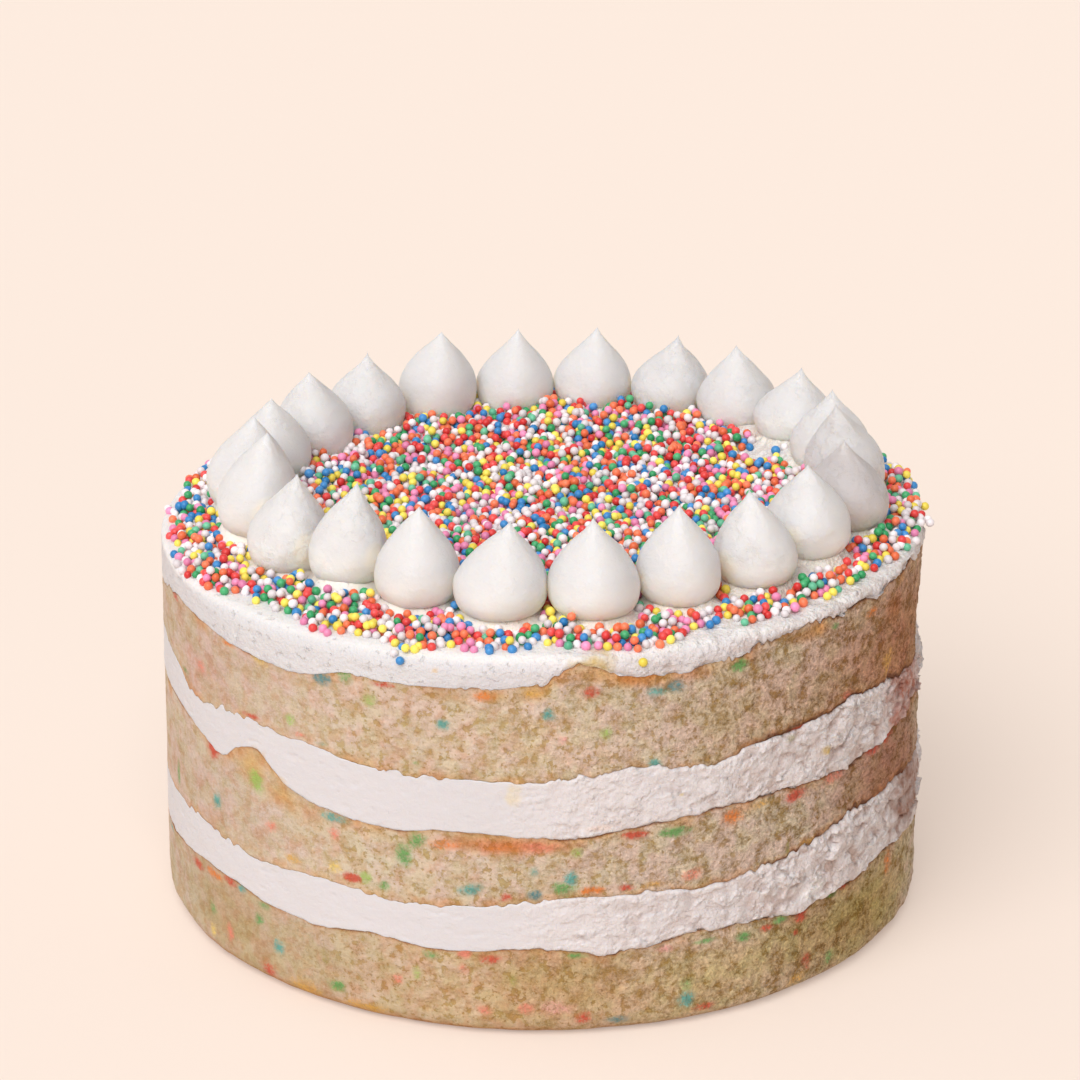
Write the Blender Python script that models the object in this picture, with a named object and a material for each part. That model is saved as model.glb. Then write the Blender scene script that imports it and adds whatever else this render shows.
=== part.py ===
# Birthday layer cake, about 152 mm across and 99 mm high with its dollops.
# Three layers of confetti sponge and two cream fillings show at the bare side. The top is
# spread with cream, strewn with round sugar beads and ringed by piped cream dollops.
# The cake stands on Z = 0, centred on the Z axis, with its front towards -Y.
# Directions round the cake are turns in degrees from the front, growing towards +X.
import math
import random

import bmesh
import bpy
from mathutils import Vector

MM = 0.001

# The cake as a whole
BASE_RADIUS = 75.7 * MM
TOP_RADIUS = 75.2 * MM
TOP_HEIGHT = 76.9 * MM
TOP_RISE = 1.5 * MM  # the top slopes: this much higher at the right edge than in the middle
BASE_CORNER = 4.0 * MM
LAYER_GAP = 0.3 * MM
SEGMENTS = 72

# Unevenness of the trimmed side, as (waves round the cake, phase in degrees, depth)
SIDE_WAVES = ((2, 40, 0.15 * MM), (5, 110, 0.12 * MM), (9, 250, 0.10 * MM))
SPONGE_BULGE = 0.15 * MM
FILLING_BULGE = 0.45 * MM

# Heights of the edges between the layers at the side, as (turn, height in mm).
# The fillings are uneven, with sags, a smear and a notch, so each edge has its own curve.
LOWER_FILLING_FOOT = (
    (-90, 16.0), (-70, 17.8), (-55, 19.0), (-43, 17.3), (-33, 16.8), (-26, 18.5), (-17, 17.4),
    (2, 18.2), (11, 16.7), (18, 18.9), (30, 18.7), (40, 17.2), (61, 19.5), (85, 18.2),
    (120, 17.0), (155, 19.0), (195, 17.0), (235, 18.6),
)
LOWER_FILLING_HEAD = (
    (-90, 26.0), (-60, 27.2), (-46, 25.8), (-32, 26.9), (-19, 25.6), (-6, 27.5), (13, 29.1),
    (24, 28.0), (38, 30.0), (48, 32.7), (60, 33.6), (85, 31.2), (120, 29.5), (155, 28.0),
    (195, 29.6), (235, 27.4),
)
UPPER_FILLING_FOOT = (
    (-90, 48.0), (-68, 47.6), (-55, 44.9), (-47, 48.2), (-40, 43.7), (-30, 41.0), (-20, 40.7),
    (-14, 41.9), (3, 40.8), (13, 42.4), (25, 43.6), (37, 44.0), (51, 43.3), (66, 45.0),
    (85, 45.6), (120, 43.4), (155, 44.6), (195, 42.2), (235, 43.8),
)
UPPER_FILLING_HEAD = (
    (-90, 57.0), (-70, 56.0), (-62, 52.4), (-52, 54.0), (-40, 54.1), (-21, 52.3), (0, 52.5),
    (13, 54.6), (23, 53.0), (32, 55.0), (45, 56.3), (55, 57.0), (70, 54.0), (85, 52.4),
    (120, 54.8), (155, 53.2), (195, 54.4), (235, 53.6),
)
TOP_CREAM_FOOT = (
    (-90, 65.5), (-70, 70.0), (-56, 68.9), (-38, 69.1), (-28, 71.2), (-12, 70.8), (-1, 71.8),
    (5, 75.6), (11, 73.4), (20, 72.4), (33, 75.0), (42, 75.9), (65, 75.6), (78, 75.4),
    (92, 72.0), (125, 73.6), (160, 71.6), (200, 71.0), (240, 69.2),
)

# Rounding of the top cream's rim
RIM_ROUND = 3.2 * MM
RIM_SHARE = 0.8  # most of the cream's depth that the rounding may take
RIM_SHOULDER = 0.3  # how far in and down the middle of the rounding lies, as a share of it
CREAM_BULGE = 0.2 * MM

# The ring of piped dollops. It starts behind, left of the middle, and runs clockwise.
RING_CENTRE = (2.0 * MM, 2.7 * MM)
RING_RADIUS = 57.7 * MM
RING_START = 113.6  # degrees from +X, counterclockwise
DOLLOP_SEGMENTS = 12
DOLLOP_RINGS = (0.0, 0.07, 0.2, 0.36, 0.54, 0.7, 0.84, 0.94)
DOLLOP_WIDEST = 0.36  # height of the widest ring, as a share of the whole height
DOLLOP_FOOT = 0.62  # radius at the foot, as a share of the widest
DOLLOP_POINT = 1.1  # above 1 the sides curve in to the tip
# Each was piped by hand, so each has its own
# (turn off its place in degrees, shift outwards, width, height, tip's lean in X, lean in Y) in mm.
DOLLOPS = (
    (0.0, 1.8, 16.6, 19.0, 0.5, 0.0),
    (0.2, 1.0, 16.0, 18.2, 0.4, 0.3),
    (0.5, 1.4, 16.2, 18.0, 0.8, 0.0),
    (0.5, 1.0, 16.2, 17.8, 1.5, 0.2),
    (0.5, 0.8, 16.4, 18.4, 0.3, 0.0),
    (0.6, 0.8, 16.2, 17.8, 1.0, 0.5),
    (0.5, 0.6, 16.0, 18.0, -0.8, 0.4),
    (1.0, 0.6, 15.8, 20.4, -1.6, 0.0),
    (1.2, 1.9, 16.8, 18.9, -0.4, 0.6),
    (1.0, 0.4, 16.6, 18.9, -0.6, 0.0),
    (1.0, 1.0, 15.8, 18.5, -1.2, -0.2),
    (0.4, 0.2, 15.8, 19.4, -0.1, 0.0),
    (0.2, 1.6, 16.8, 19.5, -0.2, 0.3),
    (-0.3, 1.0, 17.0, 18.8, 1.3, 0.0),
    (-0.6, -0.4, 15.8, 19.8, 0.4, 0.4),
    (-0.5, -0.4, 15.6, 20.6, 1.6, 0.6),
    (-0.1, 1.6, 16.2, 19.0, 1.7, -0.4),
    (0.0, 1.6, 16.6, 21.0, 1.3, 0.3),
    (0.0, 2.4, 16.6, 19.8, 1.4, 0.0),
    (0.2, 1.5, 16.2, 18.0, 1.0, 0.0),
    (0.4, 0.2, 16.0, 18.4, -0.4, 0.2),
    (0.5, 1.4, 16.2, 18.4, 0.5, 0.4),
)

# Sugar beads on the cream
BEAD_RADIUS = 0.86 * MM
BEAD_RISE = 0.42 * MM  # a bead's centre above the cream
BEADS_INSIDE = 130
BEADS_OUTSIDE = 58
BEAD_TRIES = 40  # places tried for each bead; the one furthest from the others is kept
BEAD_CLEARANCE = 1.3 * MM  # from a bead's centre to a dollop's widest ring
BAND_EDGE = 72.6 * MM  # outermost bead's centre, from the cake's axis
BAND_WAVES = ((2, 150, 0.5 * MM), (5, 20, 0.7 * MM), (11, 300, 0.5 * MM))
BEAD_SEED = 11
# Two beads strayed onto the side of the top cream, as (turn, height in mm)
STRAY_BEADS = ((-20.0, 74.6), (14.0, 75.2))

SPONGE_COLOUR = (0.60, 0.44, 0.27)
CREAM_COLOUR = (0.90, 0.84, 0.78)


def direction(turn):
    """Unit vector away from the cake's axis."""
    angle = math.radians(turn)
    return Vector((math.sin(angle), -math.cos(angle), 0.0))


def waves(turn, terms):
    return sum(depth * math.sin(math.radians(count * turn + phase)) for count, phase, depth in terms)


def side_radius(turn, height):
    straight = BASE_RADIUS + (TOP_RADIUS - BASE_RADIUS) * height / TOP_HEIGHT
    return straight + waves(turn, SIDE_WAVES)


def top_height(point):
    return TOP_HEIGHT + TOP_RISE * point.x / TOP_RADIUS


def edge_height(knots, turn):
    """Height of an edge, read from a smooth closed curve through its knots."""
    first = knots[0][0]
    turn = first + (turn - first) % 360
    index = sum(1 for at, _ in knots if at <= turn) - 1

    def knot(number):
        laps, place = divmod(number, len(knots))
        return knots[place][0] + 360 * laps, knots[place][1]

    (a0, h0), (a1, h1), (a2, h2), (a3, h3) = (knot(index + step) for step in (-1, 0, 1, 2))
    share = (turn - a1) / (a2 - a1)
    leave = (h2 - h0) / (a2 - a0) * (a2 - a1)
    arrive = (h3 - h1) / (a3 - a1) * (a2 - a1)
    bend = h1 * (2 * share**3 - 3 * share**2 + 1) + h2 * (3 * share**2 - 2 * share**3)
    return (bend + leave * (share**3 - 2 * share**2 + share) + arrive * (share**3 - share**2)) * MM


def material(name, colour, roughness):
    made = bpy.data.materials.new(name)
    made.use_nodes = True
    shader = made.node_tree.nodes["Principled BSDF"]
    shader.inputs["Base Color"].default_value = (*colour, 1.0)
    shader.inputs["Roughness"].default_value = roughness
    shader.inputs["Metallic"].default_value = 0.0
    return made


def place(name, mesh, look, parent, location=(0.0, 0.0, 0.0)):
    mesh.materials.append(look)
    made = bpy.data.objects.new(name, mesh)
    made.location = location
    made.parent = parent
    bpy.context.scene.collection.objects.link(made)
    return made


def stack_mesh(name, rings, foot_centre=None, head_centre=None):
    """Closed mesh through rings of points from the foot up, with a fan or a flat face at each end."""
    shape = bmesh.new()
    rows = [[shape.verts.new(point) for point in ring] for ring in rings]
    count = len(rows[0])
    for low, high in zip(rows, rows[1:]):
        for i in range(count):
            j = (i + 1) % count
            shape.faces.new((low[i], low[j], high[j], high[i]))
    ends = ((rows[0], foot_centre, True), (rows[-1], head_centre, False))
    for row, centre, is_foot in ends:
        if centre is None:
            shape.faces.new(row[::-1] if is_foot else row)
            continue
        middle = shape.verts.new(centre)
        for i in range(count):
            j = (i + 1) % count
            shape.faces.new((row[j], row[i], middle) if is_foot else (row[i], row[j], middle))
    mesh = bpy.data.meshes.new(name)
    shape.to_mesh(mesh)
    shape.free()
    mesh.shade_smooth()
    mesh.set_sharp_from_angle(angle=math.radians(40))
    return mesh


def turns():
    return [360.0 * i / SEGMENTS for i in range(SEGMENTS)]


def side_point(turn, height, outwards):
    point = direction(turn) * (side_radius(turn, height) + outwards)
    point.z = height
    return point


def face_centre(knots, shift):
    """Centre of the face between two layers: the mean height of its edge."""
    heights = [edge_height(knots, turn) for turn in turns()]
    return (0.0, 0.0, sum(heights) / len(heights) + shift)


def layer(name, foot, head, bulge, look, parent):
    """A layer between two edges, swelling a little halfway up."""
    rings = []
    for share, outwards in ((0.0, 0.0), (0.5, bulge), (1.0, 0.0)):
        ring = []
        for turn in turns():
            low = edge_height(foot, turn) + LAYER_GAP / 2
            high = edge_height(head, turn) - LAYER_GAP / 2
            ring.append(side_point(turn, low + share * (high - low), outwards))
        rings.append(ring)
    ends = (face_centre(foot, LAYER_GAP / 2), face_centre(head, -LAYER_GAP / 2))
    return place(name, stack_mesh(name, rings, *ends), look, parent)


def bottom_layer(name, head, look, parent):
    """The bottom sponge: a flat foot, a rounded corner and an uneven head."""
    corner = [(BASE_CORNER * (math.cos(angle) - 1), BASE_CORNER * (1 + math.sin(angle)))
              for angle in (math.radians(degrees) for degrees in (-90, -45, 0))]
    rings = [[side_point(turn, height, outwards) for turn in turns()] for outwards, height in corner]
    rings.append([side_point(turn, edge_height(head, turn) - LAYER_GAP / 2, 0.0) for turn in turns()])
    return place(name, stack_mesh(name, rings, None, face_centre(head, -LAYER_GAP / 2)), look, parent)


def top_cream(name, foot, look, parent):
    """The cream on top: an uneven foot, a rounded rim and a level, slightly sloping top."""
    rings = [[], [], [], []]
    for turn in turns():
        low = edge_height(foot, turn) + LAYER_GAP / 2
        high = top_height(direction(turn) * TOP_RADIUS)
        rounding = min(RIM_ROUND, RIM_SHARE * (high - low))
        rings[0].append(side_point(turn, low, 0.0))
        rings[1].append(side_point(turn, high - rounding, CREAM_BULGE))
        rings[2].append(side_point(turn, high - RIM_SHOULDER * rounding, -RIM_SHOULDER * rounding))
        edge = side_point(turn, high, -rounding)
        edge.z = top_height(edge)
        rings[3].append(edge)
    return place(name, stack_mesh(name, rings, face_centre(foot, LAYER_GAP / 2)), look, parent)


def dollop_radius(share):
    """Radius of a dollop at a share of its height, where the widest is 1."""
    if share >= DOLLOP_WIDEST:
        run = (1.0 - share) / (1.0 - DOLLOP_WIDEST)
        return math.sin(math.pi / 2 * run) ** DOLLOP_POINT
    run = 1.0 - share / DOLLOP_WIDEST
    return DOLLOP_FOOT + (1.0 - DOLLOP_FOOT) * math.sqrt(1.0 - run**2)


def dollop_places():
    """For each dollop: the middle of its foot, its widest radius, its height and its tip's lean."""
    found = []
    for number, (turn_off, outwards, width, height, lean_x, lean_y) in enumerate(DOLLOPS):
        angle = math.radians(RING_START + turn_off - 360.0 * number / len(DOLLOPS))
        reach = RING_RADIUS + outwards * MM
        foot = Vector((*RING_CENTRE, 0.0)) + reach * Vector((math.cos(angle), math.sin(angle), 0.0))
        foot.z = top_height(foot) + LAYER_GAP
        found.append((foot, width / 2 * MM, height * MM, Vector((lean_x, lean_y, 0.0)) * MM))
    return found


def dollop(name, foot, radius, height, lean, look, parent):
    """A teardrop of piped cream whose tip leans to one side."""
    slope = TOP_RISE / TOP_RADIUS
    rings = []
    for share in DOLLOP_RINGS:
        ring = []
        for i in range(DOLLOP_SEGMENTS):
            point = direction(360.0 * i / DOLLOP_SEGMENTS) * radius * dollop_radius(share)
            point.z = share * height + slope * point.x * (1.0 - share)
            ring.append(point + lean * share**2)
        rings.append(ring)
    tip = (lean.x, lean.y, height)
    return place(name, stack_mesh(name, rings, None, tip), look, parent, foot)


def rim_drop(over):
    """How far the rounded rim has fallen at a distance past the start of its rounding."""
    return RIM_ROUND - math.sqrt(RIM_ROUND**2 - over**2) if over > 0.0 else 0.0


def on_cream(point):
    """The point lifted to where a bead's centre lies, following the rim down near the edge."""
    turn = math.degrees(math.atan2(point.x, -point.y))
    over = math.hypot(point.x, point.y) - (side_radius(turn, TOP_HEIGHT) - RIM_ROUND)
    return Vector((point.x, point.y, top_height(point) - rim_drop(over) + BEAD_RISE))


def on_rim(turn, height):
    """Where the centre of a bead lies that is stuck to the rounded rim at a height."""
    above = height - (top_height(direction(turn) * TOP_RADIUS) - RIM_ROUND)
    return side_point(turn, height, BEAD_RISE / 2 - rim_drop(above))


def bead_places(count, inside, rng, dollops):
    """Places spread evenly inside or outside the ring of dollops, clear of every dollop."""
    centre = Vector((*RING_CENTRE, 0.0))
    chosen = []
    while len(chosen) < count:
        best, best_room = None, -1.0
        for _ in range(BEAD_TRIES):
            turn = rng.uniform(0.0, 360.0)
            edge = BAND_EDGE + waves(turn, BAND_WAVES)
            point = direction(turn) * edge * math.sqrt(rng.random())
            if ((point - centre).length < RING_RADIUS) != inside:
                continue
            if any((point - Vector((foot.x, foot.y, 0.0))).length < radius + BEAD_CLEARANCE
                   for foot, radius, _, _ in dollops):
                continue
            room = min(((point - other).length for other in chosen), default=TOP_RADIUS)
            if room > best_room:
                best, best_room = point, room
        if best is not None:
            chosen.append(best)
    return [on_cream(point) for point in chosen]


def strew_beads(cream, dollops):
    """Fuses the sugar beads to the top cream."""
    rng = random.Random(BEAD_SEED)
    places = bead_places(BEADS_INSIDE, True, rng, dollops)
    places += bead_places(BEADS_OUTSIDE, False, rng, dollops)
    places += [on_rim(turn, height * MM) for turn, height in STRAY_BEADS]
    shape = bmesh.new()
    bmesh.ops.create_icosphere(shape, subdivisions=1, radius=BEAD_RADIUS)
    bead_mesh = bpy.data.meshes.new("bead")
    shape.to_mesh(bead_mesh)
    shape.free()
    heap = bpy.data.collections.new("beads")
    bpy.context.scene.collection.children.link(heap)
    for point in places:
        bead = bpy.data.objects.new("bead", bead_mesh)
        bead.location = point
        bead.rotation_euler = [rng.uniform(0.0, math.tau) for _ in range(3)]
        heap.objects.link(bead)
    union = cream.modifiers.new("beads", "BOOLEAN")
    union.operation = "UNION"
    union.operand_type = "COLLECTION"
    union.collection = heap
    union.solver = "EXACT"
    bpy.context.view_layer.update()
    graph = bpy.context.evaluated_depsgraph_get()
    fused = bpy.data.meshes.new_from_object(cream.evaluated_get(graph))
    cream.modifiers.remove(union)
    cream.data = fused
    for bead in list(heap.objects):
        bpy.data.objects.remove(bead)
    bpy.data.collections.remove(heap)


def build():
    for old in list(bpy.data.objects):
        bpy.data.objects.remove(old)
    sponge = material("sponge", SPONGE_COLOUR, 0.9)
    cream = material("cream", CREAM_COLOUR, 0.45)
    cake = bpy.data.objects.new("cake", None)
    bpy.context.scene.collection.objects.link(cake)
    bottom_layer("sponge_bottom", LOWER_FILLING_FOOT, sponge, cake)
    layer("filling_lower", LOWER_FILLING_FOOT, LOWER_FILLING_HEAD, FILLING_BULGE, cream, cake)
    layer("sponge_middle", LOWER_FILLING_HEAD, UPPER_FILLING_FOOT, SPONGE_BULGE, sponge, cake)
    layer("filling_upper", UPPER_FILLING_FOOT, UPPER_FILLING_HEAD, FILLING_BULGE, cream, cake)
    layer("sponge_top", UPPER_FILLING_HEAD, TOP_CREAM_FOOT, SPONGE_BULGE, sponge, cake)
    topping = top_cream("topping", TOP_CREAM_FOOT, cream, cake)
    dollops = dollop_places()
    for number, (foot, radius, height, lean) in enumerate(dollops, start=1):
        dollop(f"dollop_{number:02d}", foot, radius, height, lean, cream, cake)
    strew_beads(topping, dollops)


build()
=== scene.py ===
import itertools
import math

import bmesh
import bpy
import numpy as np
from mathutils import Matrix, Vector


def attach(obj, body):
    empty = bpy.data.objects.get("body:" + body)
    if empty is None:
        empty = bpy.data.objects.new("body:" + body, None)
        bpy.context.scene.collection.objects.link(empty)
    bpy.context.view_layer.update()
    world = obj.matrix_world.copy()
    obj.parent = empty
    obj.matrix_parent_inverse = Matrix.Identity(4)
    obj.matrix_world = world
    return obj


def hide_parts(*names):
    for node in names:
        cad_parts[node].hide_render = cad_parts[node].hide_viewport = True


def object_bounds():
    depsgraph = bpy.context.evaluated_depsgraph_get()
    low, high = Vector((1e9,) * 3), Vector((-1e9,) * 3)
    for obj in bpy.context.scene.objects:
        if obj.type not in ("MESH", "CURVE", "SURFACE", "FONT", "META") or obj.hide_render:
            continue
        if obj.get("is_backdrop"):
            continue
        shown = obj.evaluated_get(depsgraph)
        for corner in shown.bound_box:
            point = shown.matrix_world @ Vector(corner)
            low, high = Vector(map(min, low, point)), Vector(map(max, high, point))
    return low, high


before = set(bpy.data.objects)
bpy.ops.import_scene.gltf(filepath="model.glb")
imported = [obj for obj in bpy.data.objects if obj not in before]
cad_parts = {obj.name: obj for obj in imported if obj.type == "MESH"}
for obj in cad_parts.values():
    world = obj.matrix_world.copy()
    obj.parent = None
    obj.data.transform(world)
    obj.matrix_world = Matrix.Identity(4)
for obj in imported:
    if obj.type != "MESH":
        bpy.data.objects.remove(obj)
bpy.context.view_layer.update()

mm = 0.001

# Birthday layer cake: confetti sponge, cream fillings, sugar beads and a ring of piped dollops.
# Lengths below are in millimetres. Turns are degrees from the front, growing towards +X.
cake = {
    "columns": 1200,         # points round the side, about 0.4 mm apart
    "rowStep": 0.32,         # height of one row of faces at the side
    "topHeight": 76.9,
    "topRise": 1.5,          # the top is this much higher at the right edge than in the middle
    "topRadius": 75.2,
    "rimRound": (3.2, 1.3),  # rounding of the rim: at the front, and from the sides to the back
}


# Noise in plain arrays, so that every run gives the same shapes

def scatterValue(cells, seed):  # a repeatable number from 0 to 1 for each whole-number cell
    x, y, z = (cells[..., axis].astype(np.int64) for axis in range(3))
    mixed = (x * 73856093) ^ (y * 19349663) ^ (z * 83492791) ^ (seed * 668265263)
    mixed = (mixed ^ (mixed >> 13)) * 1274126177 & 0xFFFFFFFFFFFF
    mixed = (mixed ^ (mixed >> 16)) * 73244475 & 0xFFFFFFFFFFFF
    return ((mixed >> 7) & 0xFFFFF) / 0xFFFFF


def softNoise(points, size, seed):  # from -1 to 1, with bumps about one size wide
    scaled = points / size
    corner = np.floor(scaled)
    part = scaled - corner
    part = part * part * (3 - 2 * part)
    total = np.zeros(points.shape[:-1])
    for step in itertools.product((0, 1), repeat=3):
        weight = np.prod(np.where(step, part, 1 - part), axis=-1)
        total += weight * scatterValue(corner + step, seed)
    return 2 * total - 1


sideStretch = (0.5, 0.167)   # textures are longer along the sides, where they are seen at a slant
noiseTilt = np.array([[0.80, 0.48, -0.36], [-0.60, 0.64, -0.48], [0.00, 0.60, 0.80]])


def alongSides(points):
    stretched = points.copy()
    stretched[..., 1] *= sideStretch[0] + sideStretch[1] * (points[..., 1] / cake["topRadius"]) ** 2
    return stretched


def layeredNoise(points, size, layers, seed):
    total, strength, whole = 0.0, 1.0, 0.0
    for layer in range(layers):
        points = points @ noiseTilt
        total = total + strength * softNoise(points, size / 2 ** layer, seed + layer)
        whole += strength
        strength *= 0.55
    return total / whole


def flakeNoise(points, size, seed):  # chips that each tilt their own way, about from -1 to 1
    scaled = points / size
    corner = np.floor(scaled)
    nearest = np.full(points.shape[:-1], 9.0)
    height = np.zeros(points.shape[:-1])
    for step in itertools.product((-1, 0, 1), repeat=3):
        cell = corner + step
        spot = cell + np.stack([scatterValue(cell, seed + axis) for axis in range(3)], axis=-1)
        away = scaled - spot
        gap = (away ** 2).sum(-1)
        closer = gap < nearest
        nearest = np.where(closer, gap, nearest)
        tilt = np.stack([scatterValue(cell, seed + 10 + axis) for axis in range(3)], axis=-1) * 2 - 1
        height = np.where(closer, (away * tilt).sum(-1) + 0.7 * scatterValue(cell, seed + 20) - 0.35, height)
    return height


def smoothStep(low, high, value):
    share = np.clip((value - low) / (high - low), 0, 1)
    return share * share * (3 - 2 * share)


def terraced(value, steps, lip):  # turns soft bumps into overlapping flakes with a lip
    scaled = value * steps
    whole = np.floor(scaled)
    return (whole + smoothStep(1 - lip, 1.0, scaled - whole)) / steps


# Reading the frame

def nodePoints(name):
    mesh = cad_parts[name].data
    points = np.empty(len(mesh.vertices) * 3, np.float32)
    mesh.vertices.foreach_get("co", points)
    return points.reshape(-1, 3).astype(float) / mm


rimCorners = 72   # points round each layer of the frame
turns = np.arange(cake["columns"]) * 360.0 / cake["columns"]


def roundTheCake(values):  # a smooth closed curve through one value for each corner of the frame
    place = turns / 360.0 * rimCorners
    index = np.floor(place).astype(int)
    share = place - index
    before, start, end, after = (values[(index + step) % rimCorners] for step in (-1, 0, 1, 2))
    leave, arrive = (end - before) / 2, (after - start) / 2
    return (start * (2 * share ** 3 - 3 * share ** 2 + 1) + end * (3 * share ** 2 - 2 * share ** 3)
            + leave * (share ** 3 - 2 * share ** 2 + share) + arrive * (share ** 3 - share ** 2))


def turnOf(points):
    return np.degrees(np.arctan2(points[..., 0], -points[..., 1]))


def rimOf(name, isHead):  # heights and radii of the upper or lower rim of a layer, at every column
    points = nodePoints(name)
    radius = np.hypot(points[:, 0], points[:, 1])
    turn = turnOf(points)
    heights, radii = [], []
    for corner in range(rimCorners):
        off = np.abs((turn - corner * 360.0 / rimCorners + 180) % 360 - 180)
        near = (off < 0.5) & (radius > cake["topRadius"] - 2)
        best = np.argmax(points[near, 2]) if isHead else np.argmin(points[near, 2])
        heights.append(points[near, 2][best])
        radii.append(radius[near][best])
    return roundTheCake(np.array(heights)), roundTheCake(np.array(radii))


def topHeightAt(x):
    return cake["topHeight"] + cake["topRise"] * x / cake["topRadius"]


def rimRoundAt(turn):
    away = np.abs((np.asarray(turn) + 180) % 360 - 180)
    return cake["rimRound"][0] + (cake["rimRound"][1] - cake["rimRound"][0]) * smoothStep(48, 72, away)


# Edges between the layers, from the frame, with the fine raggedness of cut sponge and torn cream

edges = {
    "smoothTeeth": (0.24, 0.36, 0.24, 0.46, 0.34),   # height of the teeth where the side was scraped smooth
    "tornTeeth": (0.55, 0.60, 0.55, 0.65, 0.85),     # and where it tore, for each edge from the foot up
    "fineTeeth": (0.6, 1.1, 0.6, 1.2, 1.1),
    # where an edge lies lower than in the frame, as (edge, turn, width, depth)
    "dips": ((4, -36, 9, 1.7), (4, -20, 6, 1.1), (4, -48, 5, 0.7), (2, -54, 3, 1.2), (2, -46, 3.2, -1.4)),
    "roughFrom": -11.0,      # the side turns from smooth to torn between these two turns
    "roughTo": 9.0,
}
layerNames = ("sponge_bottom", "filling_lower", "sponge_middle", "filling_upper", "sponge_top", "topping")


def signedTurn(turn):  # from -90 at the left, through 0 at the front, to 270
    return (np.asarray(turn) + 90) % 360 - 90


def tornShare(turn):  # 0 where the side was scraped smooth, 1 where the cream tore
    turn = signedTurn(turn)
    rising = 0.55 * smoothStep(edges["roughFrom"], edges["roughTo"], turn) + 0.45 * smoothStep(15, 50, turn)
    return rising * smoothStep(235, 200, turn)


directions = np.stack([np.sin(np.radians(turns)), -np.cos(np.radians(turns)), 0 * turns], axis=-1)


def raggedEdges():
    found = []
    for index, (below, above) in enumerate(zip(layerNames, layerNames[1:])):
        lowHeight, lowRadius = rimOf(below, True)
        highHeight, highRadius = rimOf(above, False)
        points = directions * cake["topRadius"] + [0, 0, 40.0 * index]
        patchy = smoothStep(-0.15, 0.35, layeredNoise(points, 7.0, 2, 80 + index))
        fine = np.tanh(3.0 * layeredNoise(points, 1.3, 2, 60 + index))
        teeth = (np.tanh(2.4 * layeredNoise(points, 4.4, 4, 20 + index))
                 + edges["fineTeeth"][index] * patchy * fine)
        share = tornShare(turns)
        depth = edges["smoothTeeth"][index] * (1 - share) + edges["tornTeeth"][index] * share
        height = (lowHeight + highHeight) / 2 + teeth * depth
        for which, at, width, drop in edges["dips"]:
            if which == index:
                height -= drop * np.exp(-((signedTurn(turns) - at) / width) ** 2)
        found.append((height, (lowRadius + highRadius) / 2))
    return found


print("Reading the edges of the layers")
layerEdges = raggedEdges()
baseRadius = rimOf("sponge_bottom", False)[1]


# Building meshes from grids of points

def gridFaces(rows, columns, start=0):  # quads of a closed band, rows from the foot up
    low = start + np.arange(rows - 1)[:, None] * columns
    here = np.arange(columns)[None, :]
    there = (here + 1) % columns
    quads = np.stack([low + here, low + there, low + columns + there, low + columns + here], axis=-1)
    return quads.reshape(-1, 4)


def ringFan(ring, middle, upwards):
    after = np.roll(ring, -1)
    pairs = (ring, after) if upwards else (after, ring)
    return np.stack([*pairs, np.full(len(ring), middle)], axis=-1)


def ringBand(outer, inner, upwards):  # joins two rings with the same number of points
    outerAfter, innerAfter = np.roll(outer, -1), np.roll(inner, -1)
    band = (outer, outerAfter, innerAfter, inner) if upwards else (outerAfter, outer, inner, innerAfter)
    return np.stack(band, axis=-1)


def thinningBand(outer, inner):  # joins a ring facing up to one with a quarter of its points
    faces = []
    count = len(inner)
    for j in range(count):
        here, after = inner[j], inner[(j + 1) % count]
        run = [outer[(4 * j + step) % len(outer)] for step in range(5)]
        faces += [(run[0], run[1], here), (run[1], run[2], here), (run[2], after, here),
                  (run[2], run[3], after), (run[3], run[4], after)]
    return faces


def newPiece(name, points, faces, looks, node):
    mesh = bpy.data.meshes.new(name)
    mesh.from_pydata([tuple(point) for point in np.asarray(points) * mm], [],
                     [tuple(map(int, face)) for face in faces])
    mesh.validate()
    mesh.update()
    mesh.shade_smooth()
    mesh.materials.append(looks)
    piece = bpy.data.objects.new(name, mesh)
    bpy.context.scene.collection.objects.link(piece)
    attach(piece, "root")
    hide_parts(node)
    return piece


def paintValue(piece, name, values):  # one value for each point; points past the last value get 0
    layer = piece.data.attributes.new(name, "FLOAT", "POINT")
    padded = np.zeros(len(piece.data.vertices), np.float32)
    padded[:len(values)] = values
    layer.data.foreach_set("value", padded)


def paintColour(piece, name, colours):
    layer = piece.data.attributes.new(name, "FLOAT_COLOR", "POINT")
    layer.data.foreach_set("color", np.asarray(colours, np.float32).ravel())


# Shader helpers; a new node finds its tree from the sockets that feed it

def feed(socket, value):  # links a socket, or gives it a fixed value
    if isinstance(value, bpy.types.NodeSocket):
        socket.id_data.links.new(value, socket)
    elif socket.type == "RGBA":
        socket.default_value = (*value[:3], 1.0)
    else:
        socket.default_value = value


def addNode(tree, kind, inputs=None, **settings):
    node = tree.nodes.new(kind)
    for key, value in settings.items():
        setattr(node, key, value)
    for socket, value in (inputs or {}).items():
        feed(node.inputs[socket], value)
    return node


def treeOf(*values):
    return next(value.id_data for value in values if isinstance(value, bpy.types.NodeSocket))


def calculate(operation, *values, clamp=False):
    return addNode(treeOf(*values), "ShaderNodeMath", dict(enumerate(values)), operation=operation,
                   use_clamp=clamp).outputs[0]


def times(a, b, plus=0.0, clamp=False):  # a * b + plus
    return calculate("MULTIPLY_ADD", a, b, plus, clamp=clamp)


def mixColours(share, a, b, blend="MIX"):  # 0, 6 and 7 are the sockets that colours use
    return addNode(treeOf(share, a, b), "ShaderNodeMix", {0: share, 6: a, 7: b}, data_type="RGBA",
                   blend_type=blend).outputs[2]


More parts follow.
